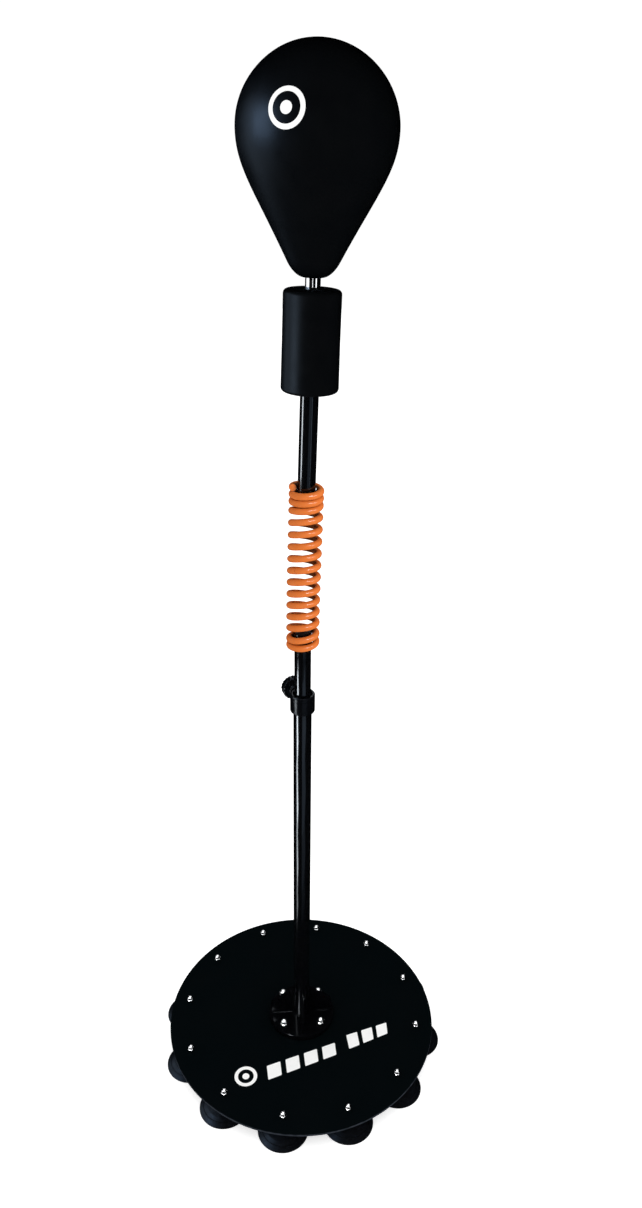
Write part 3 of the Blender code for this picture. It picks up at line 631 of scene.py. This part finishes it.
def capped_nut(name, node, flats):
    """An acorn nut: a hexagon chamfered at both ends, a small step and a polished dome."""
    low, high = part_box(node)
    middle = centre_of(node)
    tall = high.z - low.z
    hexagon_top = 0.55 * tall
    dome_foot = 0.65 * tall
    dome = 0.46 * flats
    circle = 0.472 * flats
    rises = [step * math.pi / 18 for step in range(1, 9)]

    def outline(angle):
        hexagon = flats / 2 / math.cos((angle + math.pi / 6) % (math.pi / 3) - math.pi / 6)
        chamfer = (hexagon - circle) * math.tan(math.radians(30))
        return [
            (circle, 0.0), (hexagon, chamfer * 0.6), (hexagon, hexagon_top - chamfer), (circle, hexagon_top),
            (dome + 0.0002, hexagon_top + 0.0001), (dome - 0.0001, hexagon_top + 0.0005), (dome, dome_foot),
            *((dome * math.cos(rise), dome_foot + (tall - dome_foot) * math.sin(rise)) for rise in rises),
        ]

    place = Matrix.Translation((middle.x, middle.y, low.z)) @ Matrix.Rotation(
        corner_angle(node) + math.pi / 6, 4, "Z")
    angles = even_angles(NUT_SIDES)
    shape = bmesh.new()
    rings = [[shape.verts.new(place @ Vector((0, 0, 0)))]]
    for row in zip(*(outline(angle) for angle in angles)):
        rings.append([shape.verts.new(place @ polar(reach, angle, level))
                      for angle, (reach, level) in zip(angles, row)])
    rings.append([shape.verts.new(place @ Vector((0, 0, tall)))])
    skin(shape, rings)
    piece(name, shape, NUT_CHROME, "base", [node], sharp=24)


def fine_bolt(number):
    """A plated bolt up through the plate and the flange, with a crowned head below."""
    node = f"flange_bolt_{number}"
    low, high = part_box(node)
    middle = centre_of(node)
    head = (high.x - low.x) / 2
    head_top = PLATE_BOTTOM - GAP
    shape = bmesh.new()
    lathe(shape, rounded([
        (0, high.z), (0.004, high.z, 0.0006), (0.004, head_top), (head, head_top, 0.0004),
        (head, low.z + 0.002, 0.001), (0.0052, low.z, 0.0016), (0.003, low.z, 0.0004),
        (0.0026, low.z + 0.0014), (0, low.z + 0.0014),
    ]), even_angles(48), Matrix.Translation((middle.x, middle.y, 0)))
    piece(f"plated_bolt_{number}", shape, ZINC_STEEL, "base", [node])


def gusset(shape, angle):
    """A triangular web with softened edges, standing on the flange against the tube."""
    inner = TUBE_RADIUS + GAP
    top = FLANGE_TOP + GUSSET_LOW
    outline = [
        (inner, FLANGE_TOP - 0.0005), (GUSSET_REACH, FLANGE_TOP - 0.0005), (GUSSET_REACH, top - 0.001),
        (GUSSET_REACH - 0.0008, top + 0.0006), (GUSSET_REACH - 0.0025, top + 0.0014),
        (inner, FLANGE_TOP + GUSSET_TALL),
    ]
    turn = Matrix.Rotation(angle, 4, "Z")
    sides = [[shape.verts.new(turn @ Vector((x, y, z))) for x, z in outline]
             for y in (-GUSSET_HALF, GUSSET_HALF)]
    faces = [shape.faces.new(sides[0]), shape.faces.new(sides[1][::-1])]
    for index in range(len(outline)):
        following = (index + 1) % len(outline)
        faces.append(shape.faces.new((sides[0][following], sides[0][index],
                                      sides[1][index], sides[1][following])))
    edges = list(dict.fromkeys(edge for face in faces[:2] for edge in face.edges))
    bmesh.ops.bevel(shape, geom=edges, offset=0.0006, segments=2, affect="EDGES", profile=0.5)


def weld_bead(shape, start, end, radius, seed):
    """A rippled bead along a straight seam."""
    length = (end - start).length
    steps = max(8, round(length / BEAD_STEP))
    path = []
    radii = []
    for step in range(steps + 1):
        share = step / steps
        point = start.lerp(end, share)
        ripple = abs(math.sin(share * length / BEAD_RIPPLE * math.pi + seed))
        wobble = noise.noise(point * BEAD_GRAIN + Vector((seed, 0, 0)))
        taper = min(1.0, 0.45 + min(share, 1 - share) * length / 0.003)
        path.append(point)
        radii.append(radius * taper * (0.8 + 0.26 * ripple + 0.14 * wobble))
    sweep(shape, path, radii, BEAD_SIDES)


def ring_weld(shape, radius, height, start, end, bead):
    """A rippled bead along an arc about the mast."""
    length = radius * (end - start)
    steps = round(length / BEAD_STEP)
    path = []
    radii = []
    for step in range(steps + 1):
        angle = start + (end - start) * step / steps
        point = polar(radius, angle, height)
        path.append(point)
        ripple = abs(math.sin(step * 0.75))
        radii.append(bead * (0.86 + 0.16 * ripple + 0.14 * noise.noise(point * BEAD_GRAIN)))
    sweep(shape, path, radii, BEAD_SIDES)


def fine_flange():
    """The turned foot with its four welded gussets."""
    shape = bmesh.new()
    lathe(shape, rounded([
        (0, FLANGE_TOP), (FLANGE_RADIUS, FLANGE_TOP, 0.0016), (FLANGE_RADIUS, FLANGE_BOTTOM, 0.0006),
        (0, FLANGE_BOTTOM),
    ]), even_angles(144))
    tube = TUBE_RADIUS + GAP
    side = GUSSET_HALF + 0.0004
    for index in range(4):
        angle = FLANGE_TURN + index * math.pi / 2
        gusset(shape, angle)
        turn = Matrix.Rotation(angle, 4, "Z")
        for hand in (-1, 1):
            weld_bead(shape, turn @ Vector((tube + 0.002, hand * side, FLANGE_TOP)),
                      turn @ Vector((GUSSET_REACH - 0.001, hand * side, FLANGE_TOP)), 0.0016, index + hand)
            weld_bead(shape, turn @ Vector((tube - 0.0004, hand * side, FLANGE_TOP + 0.001)),
                      turn @ Vector((tube - 0.0004, hand * side, FLANGE_TOP + GUSSET_TALL - 0.003)),
                      0.0014, index - hand)
        weld_bead(shape, turn @ Vector((GUSSET_REACH, -GUSSET_HALF, FLANGE_TOP)),
                  turn @ Vector((GUSSET_REACH, GUSSET_HALF, FLANGE_TOP)), 0.0013, index)
        ring_weld(shape, tube, FLANGE_TOP, angle + 0.24, angle + math.pi / 2 - 0.24, 0.0017)
    piece("welded_flange", shape, FOOT_COAT, "base", ["foot_flange"])


def fine_base():
    fine_plate()
    for number in range(1, 13):
        suction_cup(number)
        capped_nut(f"capped_rim_nut_{number:02d}", f"rim_nut_{number:02d}", M6_FLATS)
    fine_flange()
    for number in range(1, 5):
        fine_bolt(number)
        capped_nut(f"capped_flange_nut_{number}", f"flange_nut_{number}", M8_FLATS)


# ------------------------ mast and its lock


def tube_piece(name, node, sizes, finish, body, place=None):
    """A tube with softened ends; sizes are its radius, bore, bottom and top."""
    radius, bore, bottom, top = sizes
    ease = (radius - bore) * 0.3
    shape = bmesh.new()
    lathe(shape, rounded([
        (radius, top, ease), (radius, bottom, ease), (bore, bottom, ease), (bore, top, ease),
    ]), even_angles(96), place, ring=True)
    return piece(name, shape, finish, body, [node])


def fine_collar():
    """The clamp collar: a dished top, a fine groove near each end and a boss for the locking screw."""
    seat = TUBE_RADIUS + GAP
    shape = bmesh.new()
    lathe(shape, rounded([
        (TUBE_BORE, COLLAR_TOP - 0.005), (0.0156, COLLAR_TOP, 0.0005), (COLLAR_RADIUS, COLLAR_TOP, 0.0018),
        (COLLAR_RADIUS, COLLAR_TOP - 0.0066, 0.0002), (COLLAR_RADIUS - 0.0004, COLLAR_TOP - 0.007, 0.0002),
        (COLLAR_RADIUS, COLLAR_TOP - 0.0074, 0.0002), (COLLAR_RADIUS, COLLAR_BOTTOM + 0.006, 0.0002),
        (COLLAR_RADIUS - 0.0004, COLLAR_BOTTOM + 0.0056, 0.0002),
        (COLLAR_RADIUS, COLLAR_BOTTOM + 0.0052, 0.0002), (COLLAR_RADIUS, COLLAR_BOTTOM, 0.0025),
        (seat, COLLAR_BOTTOM, 0.0002), (seat, COLLAR_SHOULDER), (TUBE_BORE, COLLAR_SHOULDER),
    ]), even_angles(96), ring=True)
    lathe(shape, rounded([
        (0.0044, 0.0168), (0.0095, 0.0168), (0.0093, 0.0186), (0.0075, 0.0208, 0.0012),
        (0.0075, 0.0275, 0.001), (0.0044, 0.0275, 0.0003),
    ]), even_angles(64), ALONG_LOCK, ring=True)
    piece("moulded_collar", shape, BLACK_PLASTIC, "base", ["clamp_collar"])


def knob_lobes(radius, height, angle):
    """Scallops round the knob's rim, fading towards its faces' middle."""
    share = min(1.0, max(0.0, (radius - 0.015) / 0.003))
    return radius - 0.0009 * share * (1 - math.cos(KNOB_LOBES * angle)) / 2


def fine_knob():
    """The lobed hand knob with a recessed face, its hub and its threaded screw."""
    inner = KNOB_INNER_FACE
    outer = KNOB_OUTER_FACE
    shape = bmesh.new()
    lathe(shape, rounded([
        (0, outer + 0.002), (0.008, outer + 0.0016, 0.004), (0.0122, outer + 0.0002, 0.0008),
        (0.0128, outer - 0.0008, 0.0003), (0.0148, outer - 0.0008, 0.0003), (0.0154, outer, 0.0004),
        (0.0172, outer, 0.0006), (KNOB_RADIUS, outer - 0.0016, 0.0008), (KNOB_RADIUS, inner + 0.0016, 0.0008),
        (0.0172, inner, 0.0006), (0.013, inner, 0.0004), (0.0085, inner - 0.0014, 0.0012),
        (0.0085, inner - 0.006, 0.0006), (SCREW_RADIUS, inner - 0.006),
        (SCREW_RADIUS, SCREW_END, 0.0004), (0, SCREW_END),
    ]), even_angles(240), ALONG_LOCK, mould=knob_lobes)
    thread = [ALONG_LOCK @ polar(0.00365, step * FULL_TURN / THREAD_STEPS,
                                 0.0172 + SCREW_PITCH * step / THREAD_STEPS)
              for step in range(round(THREAD_STEPS * THREAD_LENGTH / SCREW_PITCH))]
    sweep(shape, thread, [0.00034] * len(thread), 6)
    piece("scalloped_knob", shape, BLACK_PLASTIC, "lock_knob", ["lock_knob"])


def fine_mast():
    tube_piece("painted_lower_tube", "lower_tube",
               (TUBE_RADIUS, TUBE_BORE, FLANGE_TOP + GAP, COLLAR_SHOULDER - GAP), MAST_COAT, "base")
    inner_low, inner_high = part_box("inner_tube")
    tube_piece("painted_inner_tube", "inner_tube",
               (INNER_RADIUS, INNER_BORE, inner_low.z, inner_high.z), SLIDING_COAT, "mast")
    fine_collar()
    fine_knob()


# ------------------------ coil spring


def eased(turns):
    """Turns past a change of pitch, eased in over PITCH_EASE turns."""
    half = PITCH_EASE / 2
    if turns <= -half:
        return 0.0
    if turns >= half:
        return turns
    return (turns + half) ** 2 / (2 * PITCH_EASE)


def smooth_step(share):
    share = min(max(share, 0.0), 1.0)
    return share * share * (3 - 2 * share)


def wire_point(turn):
    """Centre of the wire this many turns above its lower end, on a straight mast."""
    open_turns = eased(turn - FOOT_TURNS) - eased(turn - FOOT_TURNS - OPEN_TURNS)
    height = SPRING_FOOT + CLOSE_PITCH * turn + (OPEN_PITCH - CLOSE_PITCH) * open_turns
    point = polar(COIL_RADIUS, SPRING_START + turn * FULL_TURN, height)
    tilted = smooth_step(turn - TILT_FROM + 0.5) * smooth_step(TILT_TO - turn + 0.5)
    point.z -= point.y * math.tan(TURN_TILT) * tilted
    return point


def leaning(point):
    """Where a point of the straight mast lies once the lower station leans."""
    share = (point.z - LOWER_BEND.z + LEAN_HALF_LENGTH) / (2 * LEAN_HALF_LENGTH)
    if share >= 1:
        return LEANING @ point
    share = max(share, 0.0)
    tilt = LEAN * share
    sideways = tilt * share * LEAN_HALF_LENGTH
    return Vector((sideways + point.x * math.cos(tilt), point.y, point.z - point.x * math.sin(tilt)))


def mark_inner_shade(mesh):
    """Stores how much each corner of the spring's surface faces the mast, the mask of the spring's painted
    shade.
    """
    marks = mesh.attributes.new(INNER_SHADE_MASK, "FLOAT", "POINT")
    for vertex, mark in zip(mesh.vertices, marks.data):
        outwards = Vector((vertex.co.x, vertex.co.y, 0)).normalized()
        mark.value = max(0.0, -vertex.normal.dot(outwards))


def spring_half(name, start, end, stands_for):
    """A length of the wire, shaped to the mast's lean about the lower station."""
    steps = math.ceil((end - start) * WIRE_STEPS)
    turns = [start + (end - start) * step / steps for step in range(steps + 1)]
    path = [leaning(wire_point(turn)) for turn in turns]
    shape = bmesh.new()
    sweep(shape, path, [WIRE_RADIUS] * len(path), WIRE_SIDES)
    made = piece(name, shape, SPRING_COAT, None, stands_for, sharp=50)
    mark_inner_shade(made.data)
    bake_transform(made)


def fine_spring():
    middle = FOOT_TURNS + (BETWEEN_BENDS - SPRING_FOOT - CLOSE_PITCH * FOOT_TURNS) / OPEN_PITCH
    total = FOOT_TURNS + OPEN_TURNS + HEAD_TURNS
    spring_half("coil_lower_half", 0.0, middle,
                ["spring_bottom", "spring_middle"])
    spring_half("coil_upper_half", middle, total, ["spring_top"])


# ------------------------ head


def dented(radius, height, angle, depth, size):
    """The radius of a point on a skin that has slow dents of this depth and size."""
    return radius + depth * noise.noise(polar(radius, angle, height) / size)


def fine_pad():
    """The foam sleeve: soft rims, slightly uneven skin."""
    tube_fit = INNER_RADIUS + GAP
    post_fit = POST_RADIUS + GAP
    waist = (PAD_TOP + PAD_BOTTOM) / 2
    profile = rounded([
        (PAD_TOP_RADIUS, PAD_TOP, 0.0055), ((PAD_TOP_RADIUS + PAD_BOTTOM_RADIUS) / 2 - 0.0002, waist, 0.3),
        (PAD_BOTTOM_RADIUS, PAD_BOTTOM, 0.005), (tube_fit, PAD_BOTTOM, 0.001),
        (tube_fit, UPPER_TUBE_TOP + GAP), (post_fit, UPPER_TUBE_TOP + GAP), (post_fit, PAD_TOP, 0.001),
    ], steps=7)

    def skin_only(radius, height, angle):
        return dented(radius, height, angle, 0.00022, 0.028) if radius > 0.03 else radius

    shape = bmesh.new()
    lathe(shape, profile, even_angles(128), LEANING, ring=True, mould=skin_only)
    made = piece("foam_strike_pad", shape, FOAM_SKIN, "head", ["foam_pad"])


def ball_profile():
    """The teardrop's outside from its crown down to its foot."""
    equator = (BALL_RADIUS, BALL_EQUATOR)
    crown = curve_points((0, BALL_TOP), (0.055, BALL_TOP), (BALL_RADIUS, BALL_EQUATOR + 0.0491), equator, 34)
    taper_end = Vector((0.0334, 1.345))
    handle = taper_end + Vector((0.519, 1)).normalized() * 0.0926
    taper = curve_points(equator, (BALL_RADIUS, BALL_EQUATOR - 0.0439), handle, taper_end, 34)
    foot = curve_points(taper_end, (0.0284, 1.3355), (0.02, BALL_BOTTOM),
                        (BALL_FOOT_RADIUS, BALL_BOTTOM), 10)
    return [(0, BALL_TOP), *crown, *taper, *foot]


def seam_angles(sides):
    """Even angles, with close ones on both sides of the mould's parting line at the ball's two sides."""
    fine = [math.radians(step) for step in (-0.5, -0.25, 0.25, 0.5)]
    extra = [(side + step) % FULL_TURN for side in (0.0, math.pi) for step in fine]
    return sorted(even_angles(sides) + extra)


def parted(radius, height, angle):
    """Slow dents, and a fine ridge along the parting line."""
    off = min(angle % math.pi, math.pi - angle % math.pi)
    return dented(radius, height, angle, 0.00016, 0.045) + (0.00016 if off < math.radians(0.1) else 0.0)


def fine_ball():
    fit = SOCKET_RADIUS + GAP
    post_fit = POST_RADIUS + GAP
    angles = seam_angles(BALL_SIDES)
    shape = bmesh.new()
    lathe(shape, ball_profile(), angles, LEANING, mould=parted)
    lathe(shape, [(BALL_FOOT_RADIUS, BALL_BOTTOM), (post_fit, BALL_BOTTOM + 0.0006),
                  (post_fit, SOCKET_BOTTOM - GAP), (fit, SOCKET_BOTTOM - GAP), (fit, SOCKET_TOP + GAP),
                  (0, SOCKET_TOP + GAP)], angles, LEANING)
    bmesh.ops.remove_doubles(shape, verts=shape.verts, dist=0.00002)
    made = piece("teardrop_ball", shape, FOAM_SKIN, "head", ["ball"])
    return made


def fine_head():
    tube_piece("painted_upper_tube", "upper_tube",
               (INNER_RADIUS, UPPER_TUBE_BORE, UPPER_TUBE_BOTTOM, UPPER_TUBE_TOP), MAST_COAT, "head", LEANING)
    post = tube_piece("polished_post", "chrome_post",
                      (POST_RADIUS, POST_BORE, POST_BOTTOM, POST_TOP), POST_CHROME, "head", LEANING)
    fine_pad()
    return fine_ball()


# ------------------------ plain prints in place of the photo's


def ring_and_dot(shape, sizes, sides, corner):
    """Adds a printed ring with a dot in it; corner(radius, angle) makes each of its corners."""
    outer, inner, dot = sizes
    angles = even_angles(sides)
    band = [outer - (outer - inner) * step / 4 for step in range(5)]
    skin(shape, [[corner(radius, angle) for angle in angles] for radius in band])
    disc = [dot * (1 - step / 4) for step in range(4)]
    skin(shape, [*([corner(radius, angle) for angle in angles] for radius in disc), [corner(0.0, 0.0)]])


def ball_print(ball):
    """A ring with a dot, lying on the ball's skin."""
    tree = BVHTree.FromObject(ball, bpy.context.evaluated_depsgraph_get())
    centre = LEANING @ polar(BALL_PRINT_REACH, BALL_PRINT_AZIMUTH, BALL_PRINT_HEIGHT)
    outward = polar(0.985, BALL_PRINT_AZIMUTH, 0.17).normalized()
    across = outward.cross(Vector((0, 0, 1))).normalized()
    upward = across.cross(outward)
    shape = bmesh.new()

    def on_skin(radius, angle):
        start = centre + outward * 0.05 + (across * math.cos(angle) + upward * math.sin(angle)) * radius
        place, normal, _, _ = tree.ray_cast(start, -outward)
        return shape.verts.new(place + normal * BALL_PRINT_LIFT)

    ring_and_dot(shape, BALL_PRINT_SIZES, 72, on_skin)
    piece("ball_ring_print", shape, PRINT_INK, "head")


def slanted_block(shape, corners, bottom_share, top_share, height):
    """One bar of a band whose corners are bottom left, top left, bottom right and top right."""
    low_left, high_left, low_right, high_right = (Vector(corner) for corner in corners)
    outline = [low_left.lerp(low_right, bottom_share[0]), low_left.lerp(low_right, bottom_share[1]),
               high_left.lerp(high_right, top_share[1]), high_left.lerp(high_right, top_share[0])]
    middle = sum(outline, Vector((0, 0))) / 4
    soft = []
    for index, corner in enumerate(outline):
        for neighbour in (outline[index - 1], outline[(index + 1) % 4]):
            soft.append(corner + (neighbour - corner).normalized() * 0.0016)
        soft.insert(-1, corner + (middle - corner).normalized() * 0.0006)
    shape.faces.new([shape.verts.new((point.x, point.y, height)) for point in soft])


def plate_print():
    """A ring with a dot and a row of slanted bars, laid flat on the plate."""
    height = PLATE_TOP + PRINT_LIFT
    shape = bmesh.new()

    def on_plate(radius, angle):
        return shape.verts.new(PLATE_PRINT_CENTRE + polar(radius, angle, height))

    ring_and_dot(shape, PLATE_PRINT_SIZES, 64, on_plate)
    first = ((-0.0571, -0.1383), (-0.065, -0.1126), (0.0702, -0.085), (0.0639, -0.0619))
    second = ((0.0848, -0.0768), (0.0769, -0.0492), (0.1626, -0.0411), (0.1589, -0.0191))
    for band, count in ((first, 4), (second, 3)):
        for index in range(count):
            bottom = ((index + BAR_START) / count, (index + BAR_END) / count)
            top = ((index + BAR_START + BAR_SLANT) / count, (index + BAR_END + BAR_SLANT) / count)
            slanted_block(shape, band, bottom, top, height)
    piece("plate_bar_print", shape, PRINT_INK, "base").visible_glossy = False


# ------------------------ hidden fittings that keep their CAD shape


def dress_fittings():
    finishes = {
        "inner_tube_bush": BLACK_PLASTIC, "tube_plug_lower": BLACK_PLASTIC, "tube_plug_upper": BLACK_PLASTIC,
        "ball_socket": BLACK_PLASTIC, "spring_seat_lower": MAST_COAT, "spring_seat_upper": MAST_COAT,
        "lock_tip": BRASS,
    }
    for node, finish in finishes.items():
        for material_slot in frame["nodes"][node].material_slots:
            material_slot.material = finish


# ------------------------ camera, floor and light


def photo_camera():
    level = math.cos(CAMERA_DOWN)
    forward = Vector((math.sin(CAMERA_YAW) * level, math.cos(CAMERA_YAW) * level, -math.sin(CAMERA_DOWN)))
    right = forward.cross(Vector((0, 0, 1))).normalized()
    up = right.cross(forward)
    rolled_right = right * math.cos(CAMERA_ROLL) + up * math.sin(CAMERA_ROLL)
    rolled_up = up * math.cos(CAMERA_ROLL) - right * math.sin(CAMERA_ROLL)
    data = bpy.data.cameras.new("photo_camera")
    data.lens = CAMERA_LENS
    data.sensor_width = 36.0
    camera = bpy.data.objects.new("photo_camera", data)
    turn = Matrix((rolled_right, rolled_up, -forward)).transposed().to_4x4()
    camera.matrix_world = Matrix.Translation(CAMERA_PLACE) @ turn
    bpy.context.scene.collection.objects.link(camera)
    bpy.context.scene.camera = camera


def studio_floor():
    shape = bmesh.new()
    lathe(shape, [(0, 0), *((FLOOR_RADIUS * step / 12, 0) for step in range(1, 13))], even_angles(48))
    mesh = bpy.data.meshes.new("studio_floor")
    bmesh.ops.recalc_face_normals(shape, faces=shape.faces)
    if shape.faces[:][0].normal.z < 0:
        bmesh.ops.reverse_faces(shape, faces=shape.faces)
    shape.to_mesh(mesh)
    shape.free()
    mesh.materials.append(pale_floor())
    floor = bpy.data.objects.new("studio_floor", mesh)
    floor.location.z = -FLOOR_DROP
    floor.visible_glossy = False
    bpy.context.scene.collection.objects.link(floor)


def area_light(name, place, target, size, radiance, only, colour=WHITE, diffuse=False):
    """A soft box that lights chosen pieces alone, and is seen by glossy rays and perhaps by diffuse ones."""
    data = bpy.data.lights.new(name, "AREA")
    data.shape = "RECTANGLE"
    data.size, data.size_y = size
    data.energy = radiance * math.pi * size[0] * size[1]
    data.color = colour
    lamp = bpy.data.objects.new(name, data)
    bpy.context.scene.collection.objects.link(lamp)
    lamp.location = place
    lamp.rotation_euler = (Vector(target) - Vector(place)).to_track_quat("-Z", "Y").to_euler()
    lamp.visible_camera = False
    lamp.visible_diffuse = diffuse
    lamp.light_linking.receiver_collection = only


def wearing(*finishes):
    """The pieces that have one of these finishes."""
    return [obj for obj in bpy.context.scene.objects
            if obj.type == "MESH" and any(slot.material in finishes for slot in obj.material_slots)]


def kept_to(name, members):
    """A collection of pieces that a light can be kept to."""
    chosen = bpy.data.collections.new(name)
    for member in members:
        chosen.objects.link(member)
    return chosen


def white_world():
    world = bpy.data.worlds.new("studio_white")
    world.use_nodes = True
    background = world.node_tree.nodes["Background"]
    background.inputs["Color"].default_value = (*WHITE, 1.0)
    background.inputs["Strength"].default_value = WORLD_STRENGTH
    world.cycles_visibility.glossy = False
    bpy.context.scene.world = world


def gloss_lights():
    """Upright and floor strips that draw the narrow and the broad reflections down the coated tubes."""
    coated = kept_to("gloss_coats", wearing(MAST_COAT, SLIDING_COAT, BLACK_PLASTIC))
    moulded = kept_to("moulded_pieces", wearing(BLACK_PLASTIC))
    welded = kept_to("welded_pieces", wearing(FOOT_COAT))
    area_light("rim_line", (0.0, -0.2, 2.9), (0, 0, 0.7), (0.9, 0.4), 8.0, moulded, SKY_BLUE)
    area_light("knob_rim", (-1.3, -0.1, 2.3), (0, 0, 0.7), (0.9, 0.9), 18.0, moulded, SKY_BLUE)
    area_light("weld_sparkle", (-0.75, -0.9, 1.5), (0, 0, 0), (0.32, 0.32), 90.0, welded, COOL_WHITE)
    uprights = (
        ("key_strip", (-1.77, -0.24, 1.62), (0.46, 2.5), 11.0, COOL_WHITE),
        ("right_strip", (1.35, -1.73, 1.3), (0.22, 2.6), 1.2, SKY_BLUE),
        ("front_strip", (0.58, -1.93, 1.3), (0.85, 2.6), 0.26, SKY_BLUE),
        ("back_strip", (0.1, 2.2, 1.3), (0.2, 2.6), 4.0, COOL_WHITE),
    )
    for name, place, size, radiance, colour in uprights:
        area_light(name, place, (0, 0, place[2]), size, radiance, coated, colour)
    floor_strips = (
        ("left_floor", math.radians(204), 1.0, 0.28, COOL_WHITE),
        ("front_floor", math.radians(289), 0.03, 0.75, SKY_BLUE),
        ("back_floor", math.radians(88), 0.3, 0.1, COOL_WHITE),
    )
    for name, angle, share, width, colour in floor_strips:
        for step, (reach, length, radiance) in enumerate(FLOOR_STEPS):
            place = polar(reach, angle, 0.004)
            size = (length, width * reach) if abs(math.cos(angle)) > 0.7 else (width * reach, length)
            area_light(f"{name}_{step}", place, (*place[:2], 1.0), size, radiance * share, coated, colour)


def soft_lights():
    """The broad glow on the foam and the rubber, and the warm side of the spring."""
    objects = bpy.data.objects
    ball = kept_to("ball_skin", [objects["teardrop_ball"], objects["ball_ring_print"]])
    pad = kept_to("pad_skin", [objects["foam_strike_pad"]])
    soft = kept_to("soft_pieces", wearing(FOAM_SKIN, CUP_RUBBER))
    cups = kept_to("rubber_cups", wearing(CUP_RUBBER))
    sprung = kept_to("sprung_pieces", wearing(SPRING_COAT))
    area_light("ball_glow", (-1.5, -0.33, 1.7), (0, 0, 1.5), (0.9, 0.8), 12.5, ball, DEEP_BLUE)
    area_light("pad_glow", (-1.6, -0.7, 0.95), (0, 0, 0.95), (0.8, 1.7), 5.6, pad, SKY_BLUE)
    area_light("left_sheen", (-2.2, 0.1, 1.2), (0, 0, 1.1), (2.2, 2.6), 1.5, soft, SKY_BLUE)
    area_light("cup_glow", (-1.2, -0.8, 0.6), (0, 0, 0), (0.7, 0.5), 7.0, cups, DEEP_BLUE)
    area_light("back_sheen", (0.1, 2.2, 0.7), (0, 0, 0.7), (0.4, 1.3), 1.2, soft, SKY_BLUE)
    area_light("spring_sparkle", (0.62, -1.15, 1.78), (0, 0, 0.95), (0.5, 0.34), 38.0, sprung)
    area_light("spring_side", (1.4, -0.9, 1.6), (0, 0, 0.9), (0.6, 0.6), 13.0, sprung, diffuse=True)


def chrome_lights():
    """Large pale boxes all round, which only the chrome reflects; no other coat reflects the chrome."""
    plated = kept_to("plated_pieces", wearing(POST_CHROME, NUT_CHROME))
    for member in plated.objects:
        member.visible_glossy = False
    area_light("chrome_key", (-1.0, -1.1, 2.3), (0, 0, 0.3), (1.3, 1.3), 12.0, plated)
    boxes = (
        ("chrome_ceiling", (0.0, 0.3, 3.2), (4.5, 4.5), 2.0),
        ("chrome_left", (-2.4, -0.4, 1.2), (2.4, 3.6), 1.3),
        ("chrome_front", (-0.14, -2.6, 1.2), (0.3, 3.6), 1.6),
        ("chrome_right", (1.75, -1.55, 1.2), (0.62, 3.6), 1.8),
        ("chrome_back", (0.0, 2.6, 1.2), (3.0, 3.6), 0.9),
    )
    for name, place, size, radiance in boxes:
        area_light(name, place, (0, 0, 1.2), size, radiance, plated)


fine_base()
fine_mast()
fine_spring()
ball_print(fine_head())
plate_print()
dress_fittings()
photo_camera()
studio_floor()
white_world()
gloss_lights()
soft_lights()
chrome_lights()
bpy.context.scene.view_settings.view_transform = "Standard"
